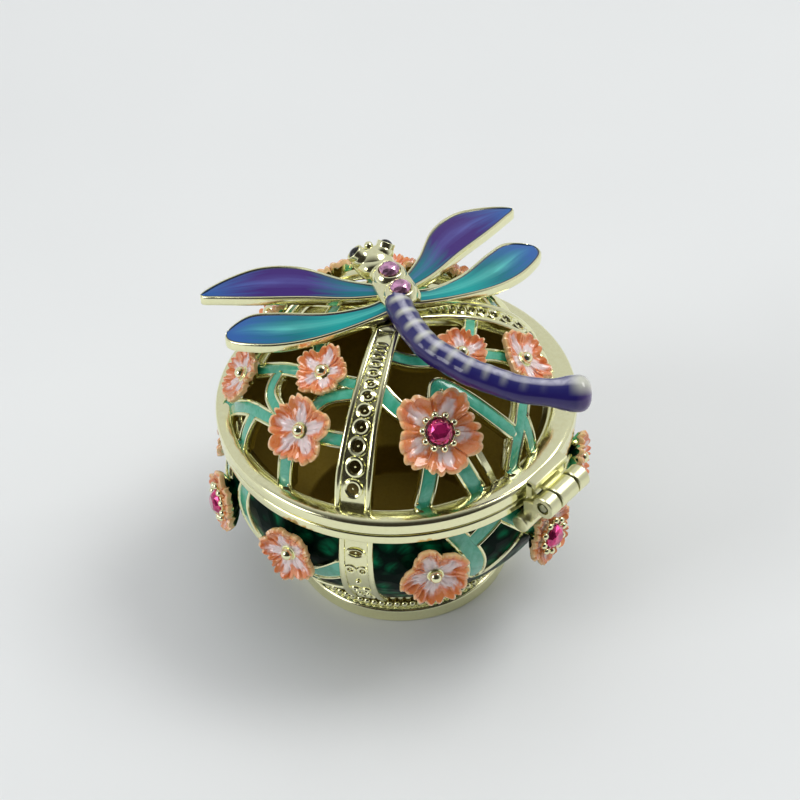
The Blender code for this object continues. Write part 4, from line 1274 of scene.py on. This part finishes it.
def noise(tree, coordinates, scale, detail=3.0, roughness=0.55, distortion=0.0):
    node = add_node(tree, "ShaderNodeTexNoise")
    node.inputs["Detail"].default_value = detail
    node.inputs["Roughness"].default_value = roughness
    node.inputs["Distortion"].default_value = distortion
    if isinstance(scale, (int, float)):
        node.inputs["Scale"].default_value = scale
    else:
        tree.links.new(scale, node.inputs["Scale"])
    tree.links.new(coordinates, node.inputs["Vector"])
    return node


def math_node(tree, operation, first, second=None, third=None):
    node = add_node(tree, "ShaderNodeMath", operation=operation)
    for place, value in enumerate((first, second, third)):
        if value is None:
            continue
        if isinstance(value, (int, float)):
            node.inputs[place].default_value = value
        else:
            tree.links.new(value, node.inputs[place])
    return node.outputs[0]


def times(tree, first, second):
    return math_node(tree, "MULTIPLY", first, second)


def map_range(tree, value, low, high, to_low=0.0, to_high=1.0):
    node = add_node(tree, "ShaderNodeMapRange")
    node.inputs["From Min"].default_value = low
    node.inputs["From Max"].default_value = high
    node.inputs["To Min"].default_value = to_low
    node.inputs["To Max"].default_value = to_high
    tree.links.new(value, node.inputs["Value"])
    return node.outputs["Result"]


def mix_colour(tree, factor, first, second):
    node = add_node(tree, "ShaderNodeMix", data_type="RGBA")
    for name, value in (("Factor", factor), ("A", first), ("B", second)):
        link_or_set(tree, value, node.inputs[name])
    return node.outputs["Result"]


def link_or_set(tree, value, socket):
    if isinstance(value, bpy.types.NodeSocket):
        tree.links.new(value, socket)
    elif isinstance(value, (int, float)):
        socket.default_value = value
    else:
        socket.default_value = (value[0], value[1], value[2], 1.0)


def cast_group():
    """Unevenness of cast, polished metal: a height, and a mask of thin or dull spots."""
    group = bpy.data.node_groups.get("cast surface")
    if group:
        return group
    inputs = (("Coarse Scale", 260.0), ("Fine Scale", 2600.0), ("Fine Amount", 0.3))
    group, start, end = new_group("cast surface", inputs, ("Height", "Spots"))
    place = object_place(group)
    coarse = noise(group, place, start.outputs["Coarse Scale"], 2.0)
    fine = noise(group, place, start.outputs["Fine Scale"], 4.0)
    fine_part = times(group, fine.outputs["Fac"], start.outputs["Fine Amount"])
    height = math_node(group, "ADD", coarse.outputs["Fac"], fine_part)
    spots = map_range(group, fine.outputs["Fac"], 0.42, 0.72)
    group.links.new(height, end.inputs["Height"])
    group.links.new(spots, end.inputs["Spots"])
    return group


def enamel_group():
    """Poured enamel: a slow swirl for colour, fine pearl grains, and a wavy height."""
    group = bpy.data.node_groups.get("poured enamel")
    if group:
        return group
    inputs = (("Swirl Scale", 420.0), ("Grain Scale", 5200.0))
    group, start, end = new_group("poured enamel", inputs, ("Swirl", "Pearl", "Height"))
    place = object_place(group)
    swirl = noise(group, place, start.outputs["Swirl Scale"], 3.0, 0.6, 1.2)
    grain = noise(group, place, start.outputs["Grain Scale"], 2.0)
    group.links.new(map_range(group, swirl.outputs["Fac"], 0.38, 0.66), end.inputs["Swirl"])
    group.links.new(map_range(group, grain.outputs["Fac"], 0.56, 0.74), end.inputs["Pearl"])
    group.links.new(swirl.outputs["Fac"], end.inputs["Height"])
    return group


def streak_group():
    """Pearl streaks that run along a wing, and the painted highlight of a broad gleam down its middle."""
    group = bpy.data.node_groups.get("pearl streaks and painted highlight")
    if group:
        return group
    inputs = (("Along", 0.0), ("Across", 0.0), ("Count", 4.0))
    group, start, end = new_group("pearl streaks and painted highlight", inputs, ("Streaks", "Painted Highlight"))
    place = add_node(group, "ShaderNodeCombineXYZ")
    group.links.new(start.outputs["Along"], place.inputs["X"])
    group.links.new(start.outputs["Across"], place.inputs["Y"])
    stretch = add_node(group, "ShaderNodeMapping")
    stretch.inputs["Scale"].default_value = (0.7, 1.0, 1.0)
    group.links.new(place.outputs["Vector"], stretch.inputs["Vector"])
    lines = noise(group, stretch.outputs["Vector"], start.outputs["Count"], 4.0, 0.55, 0.3)
    group.links.new(map_range(group, lines.outputs["Fac"], 0.40, 0.66), end.inputs["Streaks"])
    aside = math_node(group, "ADD", start.outputs["Across"], -0.30)
    middle = math_node(group, "ABSOLUTE", math_node(group, "MULTIPLY_ADD", lines.outputs["Fac"], 0.5, aside))
    group.links.new(map_range(group, middle, 0.55, 0.0), end.inputs["Painted Highlight"])
    return group


def mark(tree, name):
    return add_node(tree, "ShaderNodeAttribute", attribute_name=name).outputs["Fac"]


def place_group(tree, group, **values):
    node = add_node(tree, "ShaderNodeGroup", node_tree=group)
    for name, value in values.items():
        node.inputs[name.replace("_", " ")].default_value = value
    return node


def new_material(name, rough, metal=0.0, coat=0.0):
    material = bpy.data.materials.new(name)
    material.use_nodes = True
    tree = material.node_tree
    shader = tree.nodes["Principled BSDF"]
    shader.inputs["Roughness"].default_value = rough
    shader.inputs["Metallic"].default_value = metal
    shader.inputs["Coat Weight"].default_value = coat
    shader.inputs["Coat Roughness"].default_value = 0.03
    return material, tree, shader


def bump(tree, shader, height, strength, distance):
    node = add_node(tree, "ShaderNodeBump")
    node.inputs["Strength"].default_value = strength
    node.inputs["Distance"].default_value = distance
    tree.links.new(height, node.inputs["Height"])
    tree.links.new(node.outputs["Normal"], shader.inputs["Normal"])


# Finishes

def gold_finish(name, plating, thin, rough, wave, metal=1.0):
    """Plating with thin spots, a little duller there, over an uneven casting."""
    material, tree, shader = new_material(name, rough, metal)
    surface = place_group(tree, cast_group(), Coarse_Scale=300.0, Fine_Scale=2200.0, Fine_Amount=0.05)
    tint = mix_colour(tree, surface.outputs["Spots"], plating, thin)
    tree.links.new(tint, shader.inputs["Base Color"])
    dull = map_range(tree, surface.outputs["Spots"], 0.0, 1.0, rough, rough + 0.08)
    tree.links.new(dull, shader.inputs["Roughness"])
    bump(tree, shader, surface.outputs["Height"], wave, 0.0002)
    return material


def petals_finish(name):
    """Pale heart in a star, coral lobes, painted shade in deeper coral at the folds, and gold showing
    through at the edge.
    """
    paint = colours()
    material, tree, shader = new_material(name, 0.20, 0.0, 1.0)
    pour = place_group(tree, enamel_group(), Swirl_Scale=520.0, Grain_Scale=4200.0)
    reach = mark(tree, "along")
    across = mark(tree, "across")
    turn = times(tree, math_node(tree, "SUBTRACT", across, 0.5), 2.0 * math.pi)
    star = math_node(tree, "COSINE", turn)
    edge = math_node(tree, "MULTIPLY_ADD", star, 0.19, 0.49)
    edge = math_node(tree, "MULTIPLY_ADD", pour.outputs["Swirl"], 0.22, edge)
    past = math_node(tree, "SUBTRACT", reach, edge)
    coral_share = map_range(tree, past, -0.12, 0.10)
    # painted shade: a band of deeper coral just outside the pale heart, for the folds
    fold_shade = math_node(tree, "ABSOLUTE", math_node(tree, "SUBTRACT", past, 0.10))
    fold_shade = map_range(tree, fold_shade, 0.16, 0.0)
    fold_shade = times(tree, fold_shade, math_node(tree, "MULTIPLY_ADD", pour.outputs["Swirl"], 0.6, 0.3))
    tone = mix_colour(tree, coral_share, paint.heart, paint.coral)
    tone = mix_colour(tree, fold_shade, tone, paint.coral_in_fold_shade)
    tone = mix_colour(tree, map_range(tree, reach, 0.88, 0.99, 0.0, 0.9), tone, paint.petal_tip)
    tone = mix_colour(tree, times(tree, pour.outputs["Pearl"], 0.12), tone, paint.petal_pearl)
    tree.links.new(tone, shader.inputs["Base Color"])
    shader.inputs["Subsurface Weight"].default_value = 0.15
    shader.inputs["Subsurface Radius"].default_value = (0.0012, 0.0005, 0.0003)
    shader.inputs["Subsurface Scale"].default_value = 0.5
    bump(tree, shader, pour.outputs["Height"], 0.35, 0.0004)
    return material


def enamel_finish(name, deep, pale, rough=0.2):
    """Glossy enamel with pearly patches."""
    material, tree, shader = new_material(name, rough, 0.0, 1.0)
    pour = place_group(tree, enamel_group(), Swirl_Scale=420.0, Grain_Scale=5200.0)
    tone = mix_colour(tree, times(tree, pour.outputs["Swirl"], 0.6), deep, pale)
    tone = mix_colour(tree, times(tree, pour.outputs["Pearl"], 0.35), tone, pale)
    tree.links.new(tone, shader.inputs["Base Color"])
    bump(tree, shader, pour.outputs["Height"], 0.25, 0.0003)
    return material


def emerald_finish(name):
    """Deep translucent green over faceted metal: nearly black, with painted green glints."""
    paint = colours()
    material, tree, shader = new_material(name, 0.30)
    shader.inputs["Specular IOR Level"].default_value = 0.03
    pour = place_group(tree, enamel_group(), Swirl_Scale=210.0, Grain_Scale=2400.0)
    facets = add_node(tree, "ShaderNodeTexVoronoi", feature="F1")
    facets.inputs["Scale"].default_value = 420.0
    tree.links.new(object_place(tree), facets.inputs["Vector"])
    # painted highlight: green glints in the facets
    painted_glint = map_range(tree, facets.outputs["Distance"], 0.60, 0.05)
    painted_glint = times(tree, painted_glint, math_node(tree, "POWER", pour.outputs["Swirl"], 1.5))
    tone = mix_colour(tree, painted_glint, paint.emerald, paint.emerald_glint_paint)
    tree.links.new(tone, shader.inputs["Base Color"])
    bump(tree, shader, facets.outputs["Distance"], 0.5, 0.0005)
    return material


def wing_finish(name, stops, highlight_tone, amount):
    """Deep glossy enamel over metal that changes along the wing, with a painted highlight down its middle.
    """
    material, tree, shader = new_material(name, 0.30, 0.55, 0.30)
    pour = place_group(tree, enamel_group(), Swirl_Scale=260.0, Grain_Scale=6000.0)
    streaks = place_group(tree, streak_group(), Count=3.2)
    tree.links.new(mark(tree, "along"), streaks.inputs["Along"])
    tree.links.new(mark(tree, "across"), streaks.inputs["Across"])
    reach = math_node(tree, "MULTIPLY_ADD", streaks.outputs["Streaks"], 0.12, mark(tree, "along"))
    tone = stops[0][1]
    for (low, _), (high, paint) in zip(stops, stops[1:]):
        tone = mix_colour(tree, map_range(tree, reach, low, high), tone, paint)
    # painted highlight: the gleam down the wing's middle, broken by the streaks
    lit = math_node(tree, "MULTIPLY_ADD", streaks.outputs["Streaks"], 0.5, 0.35)
    lit = times(tree, streaks.outputs["Painted Highlight"], lit)
    body = map_range(tree, mark(tree, "along"), 0.95, 0.60, 0.0, amount)
    tone = mix_colour(tree, times(tree, lit, body), tone, highlight_tone)
    tree.links.new(tone, shader.inputs["Base Color"])
    bump(tree, shader, pour.outputs["Height"], 0.12, 0.0003)
    return material


def tail_finish(name):
    """Indigo enamel, bluer above, thin and pearly in broad bands that fade towards the end; the bands show
    only on the upper side as painted highlight, and painted highlights run along the top and lighten the
    club.
    """
    paint = colours()
    material, tree, shader = new_material(name, 0.28, 0.0, 0.7)
    pour = place_group(tree, enamel_group(), Swirl_Scale=500.0, Grain_Scale=6000.0)
    upper = mark(tree, "across")
    tone = mix_colour(tree, map_range(tree, upper, -0.1, 0.9), paint.tail_violet, paint.tail_blue)
    reach = mark(tree, "along")
    phase = math_node(tree, "FRACT", times(tree, reach, float(sizes().tail_rings)))
    ridge = math_node(tree, "ABSOLUTE", math_node(tree, "SUBTRACT", phase, 0.5))
    ridge = math_node(tree, "MULTIPLY_ADD", pour.outputs["Swirl"], 0.06, ridge)
    ridge = map_range(tree, ridge, 0.30, 0.05)
    # the bands are kept to the upper side, where light falls: painted highlight over the real thin enamel
    above = map_range(tree, upper, 0.50, 1.0)
    fade = map_range(tree, reach, 0.85, 0.25)
    thin = times(tree, times(tree, ridge, above), fade)
    tone = mix_colour(tree, times(tree, thin, 0.9), tone, paint.tail_pearl_and_highlight)
    cloud = map_range(tree, pour.outputs["Swirl"], 0.0, 1.0, 0.4, 0.75)
    # painted highlight: a line of light along the top
    sheen = times(tree, map_range(tree, upper, 0.93, 1.0), cloud)
    tone = mix_colour(tree, sheen, tone, paint.tail_sheen)
    # painted highlight: the club lightened towards its end, and its top lit further below
    club = map_range(tree, reach, 0.93, 1.0, 0.0, 0.45)
    tone = mix_colour(tree, club, tone, paint.tail_club_highlight)
    club_top_highlight = map_range(tree, reach, 0.90, 0.95, 0.0, 0.8)
    club_top_highlight = times(tree, club_top_highlight, map_range(tree, upper, 0.55, 1.0))
    tone = mix_colour(tree, club_top_highlight, tone, paint.tail_pearl_and_highlight)
    tree.links.new(tone, shader.inputs["Base Color"])
    shader.inputs["Specular IOR Level"].default_value = 0.2
    bump(tree, shader, pour.outputs["Height"], 0.10, 0.0003)
    return material


def stone_finish(name, paint, metal, rough=0.04, coat=1.0):
    """A foil-backed rhinestone: bright facets under a clear coat, with a faint cloud inside."""
    material, tree, shader = new_material(name, rough, metal, coat)
    cloud = noise(tree, object_place(tree), 900.0, 2.0)
    dark = [0.45 * value for value in paint]
    tone = mix_colour(tree, map_range(tree, cloud.outputs["Fac"], 0.40, 0.62), dark, paint)
    tree.links.new(tone, shader.inputs["Base Color"])
    return material


def finish_material(name):
    """The material of a finish, made once."""
    material = bpy.data.materials.get(name)
    if material:
        return material
    paint = colours()
    fore = ((0.02, paint.wing_teal), (0.22, paint.wing_teal), (0.44, paint.wing_violet),
            (0.72, paint.wing_violet), (1.00, paint.wing_blue))
    hind = ((0.02, paint.wing_teal), (0.34, paint.wing_turquoise), (0.62, paint.wing_teal),
            (0.92, paint.wing_blue))
    makers = {
        "gold": (gold_finish, paint.gold, paint.gold_shade, 0.13, 0.022),
        # painted shade: the dark gold inside the cup
        "inside gold": (gold_finish, paint.inside, paint.shaded_inside_thin, 0.62, 0.1, 0.8),
        # painted shade: dark gold in the hollows
        "antique gold": (gold_finish, paint.antique, paint.thin_hollow_shade, 0.24, 0.1),
        "hinge gold": (gold_finish, paint.hinge, paint.gold_shade, 0.30, 0.04),
        "pin": (gold_finish, paint.pin, paint.pin_shade, 0.34, 0.2),
        "petals": (petals_finish,),
        "turquoise": (enamel_finish, paint.turquoise, paint.pale_turquoise),
        "emerald": (emerald_finish,),
        "fore wing": (wing_finish, fore, paint.fore_wing_highlight, 0.6),
        "hind wing": (wing_finish, hind, paint.hind_wing_highlight, 1.0),
        # painted shade along the wings' rims
        "wing line": (enamel_finish, paint.wing_line, paint.pearl_of_wing_rim_shade, 0.3),
        "tail": (tail_finish,),
        "magenta stone": (stone_finish, paint.magenta, 0.7, 0.07),
        "lilac stone": (stone_finish, paint.lilac, 0.85, 0.06),
        "black stone": (stone_finish, paint.black, 0.0, 0.06, 0.0),
    }
    maker, *settings = makers[name]
    return maker(name, *settings)


# Operators

class MakeCup(bpy.types.Operator):
    """The cup's casting: shell, foot beads, ribs, vines and emerald cells"""

    bl_idname = "trinket_box.cup"
    bl_label = "Cup"

    def execute(self, context):
        piece = Piece()
        cup_shell(piece)
        foot_beads(piece)
        for azimuth in RIB_AZIMUTHS:
            cup_rib(piece, azimuth)
        ribs = [cup_rib_track(azimuth) for azimuth in RIB_AZIMUTHS]
        rib_floor = CUP_RIB_RAISED - CUP_RIB_CHANNEL
        lay_vines(piece, cup_place, CUP_VINES, ribs, -CUP_SINK, CUP_VINE_RAISED, rib_floor)
        for corners in CUP_GOLD_BARS:
            strip(piece, cup_place, corners, bar_outline(-CUP_SINK, CUP_BAR_RAISED))
        piece.build("cup_casting", "base", ["base_cup"])
        return {"FINISHED"}


class MakeCupFlowers(bpy.types.Operator):
    """The enamel flowers round the cup"""

    bl_idname = "trinket_box.cup_flowers"
    bl_label = "Cup Flowers"

    def execute(self, context):
        piece = Piece()
        for seed, (name, azimuth, share, diameter, turn, heart) in enumerate(CUP_FLOWERS):
            frame_here = cup_flower_frame(azimuth, share, turn)
            lift = CUP_STONE_FLOWER_LIFT if heart == "stone" else CUP_FLOWER_LIFT
            flower(piece, frame_here, diameter, lift, seed)
            flower_heart(piece, frame_here, lift, heart)
            if heart == "stone":
                flower_stone(frame_here, lift, "cup_stone_" + name, "base", "base_flower_stone_" + name)
        piece.build("cup_flowers", "base", ["base_cup"])
        return {"FINISHED"}


class MakeLidOpenwork(bpy.types.Operator):
    """The lid's casting: ring, ribs with their rings, crown plate and enamelled vines"""

    bl_idname = "trinket_box.lid_openwork"
    bl_label = "Lid Openwork"

    def execute(self, context):
        piece = Piece()
        lid_ring(piece)
        crown_plate(piece)
        for azimuth in RIB_AZIMUTHS:
            lid_rib(piece, azimuth)
        ribs = [lid_rib_track(azimuth) for azimuth in RIB_AZIMUTHS]
        rib_floor = RIB_RAISED - RIB_CHANNEL
        lay_vines(piece, lid_place, LID_VINES, ribs, -CAGE_DEPTH, VINE_RAISED, rib_floor)
        for corners in LID_GOLD_BARS:
            strip(piece, lid_place, corners, bar_outline(-CAGE_DEPTH, VINE_RAISED))
        piece.build("lid_openwork", "lid", ["lid_cage"])
        return {"FINISHED"}


class MakeLidFlowers(bpy.types.Operator):
    """The enamel flowers of the lid, with the large one's stone"""

    bl_idname = "trinket_box.lid_flowers"
    bl_label = "Lid Flowers"

    def execute(self, context):
        piece = Piece()
        for seed, (azimuth, share, diameter, turn, heart) in enumerate(LID_FLOWERS):
            point, normal = lid_place(azimuth, share)
            frame_here = frame_on(point, normal, turn)
            flower(piece, frame_here, diameter, LID_FLOWER_LIFT, seed + 20)
            flower_heart(piece, frame_here, LID_FLOWER_LIFT, heart)
            if heart == "stone":
                flower_stone(frame_here, LID_FLOWER_LIFT, "lid_stone", "lid", "lid_flower_stone")
        piece.build("lid_flowers", "lid", ["lid_cage"])
        return {"FINISHED"}


class MakeDragonfly(bpy.types.Operator):
    """The dragonfly's gold body, its enamelled wings and its ringed tail"""

    bl_idname = "trinket_box.dragonfly"
    bl_label = "Dragonfly"

    def execute(self, context):
        body = Piece()
        body_and_head(body)
        brow_and_sockets(body)
        for _, place in eye_frames():
            stone_seat(body, place, EYE_STONE, 0.0)
        for _, place in thorax_stone_frames():
            stone_seat(body, place, THORAX_STONE, 0.0, 0.55)
        body.build("dragonfly_body", "lid", ["dragonfly"])
        wings = Piece()
        for side in (1.0, -1.0):
            wing(wings, FORE_WING, side, "fore wing")
            wing(wings, HIND_WING, side, "hind wing")
        wings.build("dragonfly_wings", "lid", ["dragonfly"])
        rear = Piece()
        tail(rear)
        rear.build("dragonfly_tail", "lid", ["dragonfly"])
        return {"FINISHED"}


class MakeDragonflyStones(bpy.types.Operator):
    """The two stones of the thorax and the two eyes"""

    bl_idname = "trinket_box.dragonfly_stones"
    bl_label = "Dragonfly Stones"

    def execute(self, context):
        radius = 0.5 * EYE_STONE
        for name, place in eye_frames():
            jewel = Piece()
            dome(jewel, raised(place, 0.5), radius, radius, 0.62, "black stone", 32, 10, 0.1)
            jewel.build("eye_" + name, "lid", ["eye_stone_" + name])
        for name, place in thorax_stone_frames():
            jewel = Piece()
            stone(jewel, place, THORAX_STONE, 0.0, "lilac stone")
            jewel.build("thorax_jewel_" + name, "lid", ["thorax_stone_" + name], 1.0)
        return {"FINISHED"}


class MakeHinge(bpy.types.Operator):
    """The hinge's two halves and its pin"""

    bl_idname = "trinket_box.hinge"
    bl_label = "Hinge"

    def execute(self, context):
        upper = Piece()
        lid_leaf(upper)
        upper.build("hinge_upper_half", "lid", ["hinge_lid_leaf"])
        lower = Piece()
        base_leaf(lower)
        lower.build("hinge_lower_half", "base", ["hinge_base_leaf"])
        pin = Piece()
        hinge_pin(pin)
        pin.build("hinge_pin_detail", "base", ["hinge_pin"])
        return {"FINISHED"}


# Camera fitted to the photograph
VIEW_AZIMUTH = 131.0
VIEW_ELEVATION = 43.3
VIEW_ROLL = -2.34
VIEW_DISTANCE = 371.69
VIEW_CENTRE = (0.47, 0.0, 27.31)
LENS = 126.0

# Name, place, target and size in metres, then power and tint
LIGHTS = (
    ("overhead", (-0.02, 0.25, 1.10), (0.0, 0.0, 0.0), (1.60, 1.60), 5.3, (1.0, 1.0, 1.0)),
    ("key", (-0.50, 0.26, 0.84), (0.0, 0.0, 0.02), (0.46, 0.38), 3.3, (1.0, 0.99, 0.97)),
    ("front fill", (0.70, -0.35, 0.45), (0.0, 0.0, 0.02), (0.40, 0.40), 2.3, (0.97, 0.98, 1.0)),
)
TENT_BRIGHT = (0.92, 0.93, 0.95)
TENT_DARK = (0.05, 0.045, 0.04)
TENT_STRENGTH = 0.69
TABLE_HALF = 3.0


def camera_matrix():
    elevation = math.radians(VIEW_ELEVATION)
    roll = math.radians(VIEW_ROLL)
    turn = Matrix.Rotation(math.radians(VIEW_AZIMUTH), 3, "Z")
    back = Vector((0.0, -math.cos(elevation), math.sin(elevation)))
    up = Vector((0.0, math.sin(elevation), math.cos(elevation)))
    right = Vector((1.0, 0.0, 0.0))
    rolled_right = right * math.cos(roll) + up * math.sin(roll)
    rolled_up = up * math.cos(roll) - right * math.sin(roll)
    centre = Vector((VIEW_CENTRE[0], 0.0, VIEW_CENTRE[2] - SEAM))
    place = turn @ (centre + back * VIEW_DISTANCE) + Vector((0.0, 0.0, SEAM))
    axes = Matrix((turn @ rolled_right, turn @ rolled_up, turn @ back)).transposed().to_4x4()
    return Matrix.Translation(place * MM) @ axes


def area_light(name, place, target, size, energy, tint):
    light = bpy.data.lights.new(name, "AREA")
    light.shape = "RECTANGLE"
    light.size = size[0]
    light.size_y = size[1]
    light.energy = energy
    light.color = tint
    lamp = bpy.data.objects.new(name, light)
    bpy.context.scene.collection.objects.link(lamp)
    lamp.location = place
    lamp.rotation_euler = (Vector(target) - Vector(place)).to_track_quat("-Z", "Y").to_euler()
    return lamp


def studio_world():
    """A light tent: bright behind and above the box, dark where the photographer stands."""
    world = bpy.data.worlds.new("studio")
    world.use_nodes = True
    tree = world.node_tree
    back = tree.nodes["Background"]
    place = add_node(tree, "ShaderNodeTexCoord").outputs["Generated"]
    toward = add_node(tree, "ShaderNodeVectorMath", operation="DOT_PRODUCT")
    tree.links.new(place, toward.inputs[0])
    front = outward(VIEW_AZIMUTH - 90.0) * 0.85
    toward.inputs[1].default_value = (front.x, front.y, 0.5)
    shade = map_range(tree, toward.outputs["Value"], 0.15, 0.72)
    tone = mix_colour(tree, shade, TENT_BRIGHT, TENT_DARK)
    tree.links.new(tone, back.inputs["Color"])
    back.inputs["Strength"].default_value = TENT_STRENGTH
    bpy.context.scene.world = world


def floor_material():
    material, tree, shader = new_material("table top", 0.55)
    cloud = noise(tree, object_place(tree), 9.0, 3.0)
    paint = colours().floor
    shade = map_range(tree, cloud.outputs["Fac"], 0.35, 0.65)
    tone = mix_colour(tree, shade, [0.97 * value for value in paint], paint)
    tree.links.new(tone, shader.inputs["Base Color"])
    return material


class MakeStage(bpy.types.Operator):
    """The pale table top, the soft lights and the camera"""

    bl_idname = "trinket_box.stage"
    bl_label = "Stage"

    def execute(self, context):
        half = TABLE_HALF
        mesh = bpy.data.meshes.new("table_top")
        corners = [(-half, -half, 0.0), (half, -half, 0.0), (half, half, 0.0), (-half, half, 0.0)]
        mesh.from_pydata(corners, [], [(0, 1, 2, 3)])
        mesh.materials.append(floor_material())
        table = bpy.data.objects.new("table_top", mesh)
        context.scene.collection.objects.link(table)
        studio_world()
        context.scene.view_settings.view_transform = "Standard"
        for name, place, target, size, energy, tint in LIGHTS:
            lamp = area_light(name, place, target, size, energy, tint)
            lamp.visible_glossy = name != "overhead"
        lens = bpy.data.cameras.new("camera")
        lens.lens = LENS
        lens.clip_start = 0.01
        camera = bpy.data.objects.new("camera", lens)
        camera.matrix_world = camera_matrix()
        context.scene.collection.objects.link(camera)
        context.scene.camera = camera
        return {"FINISHED"}


class TrinketBoxPanel(bpy.types.Panel):
    """Sizes, colours and pieces of the trinket box"""

    bl_idname = "VIEW3D_PT_trinket_box"
    bl_label = "Trinket Box"
    bl_space_type = "VIEW_3D"
    bl_region_type = "UI"
    bl_category = "Trinket Box"

    def draw(self, context):
        layout = self.layout
        for group in (context.scene.trinket_box_sizes, context.scene.trinket_box_colours):
            column = layout.column(align=True)
            for name in group.__annotations__:
                column.prop(group, name)
        for operator in OPERATORS:
            layout.operator(operator.bl_idname)


OPERATORS = (MakeCup, MakeCupFlowers, MakeLidOpenwork, MakeLidFlowers, MakeDragonfly, MakeDragonflyStones,
             MakeHinge, MakeStage)
CLASSES = (TrinketBoxSizes, TrinketBoxColours) + OPERATORS + (TrinketBoxPanel,)


def register():
    for item in CLASSES:
        bpy.utils.register_class(item)
    bpy.types.Scene.trinket_box_sizes = PointerProperty(type=TrinketBoxSizes)
    bpy.types.Scene.trinket_box_colours = PointerProperty(type=TrinketBoxColours)


def unregister():
    del bpy.types.Scene.trinket_box_colours
    del bpy.types.Scene.trinket_box_sizes
    for item in reversed(CLASSES):
        bpy.utils.unregister_class(item)


def main():
    register()
    bpy.ops.trinket_box.cup()
    bpy.ops.trinket_box.cup_flowers()
    bpy.ops.trinket_box.lid_openwork()
    bpy.ops.trinket_box.lid_flowers()
    bpy.ops.trinket_box.dragonfly()
    bpy.ops.trinket_box.dragonfly_stones()
    bpy.ops.trinket_box.hinge()
    bpy.ops.trinket_box.stage()


if __name__ == "__main__":
    main()
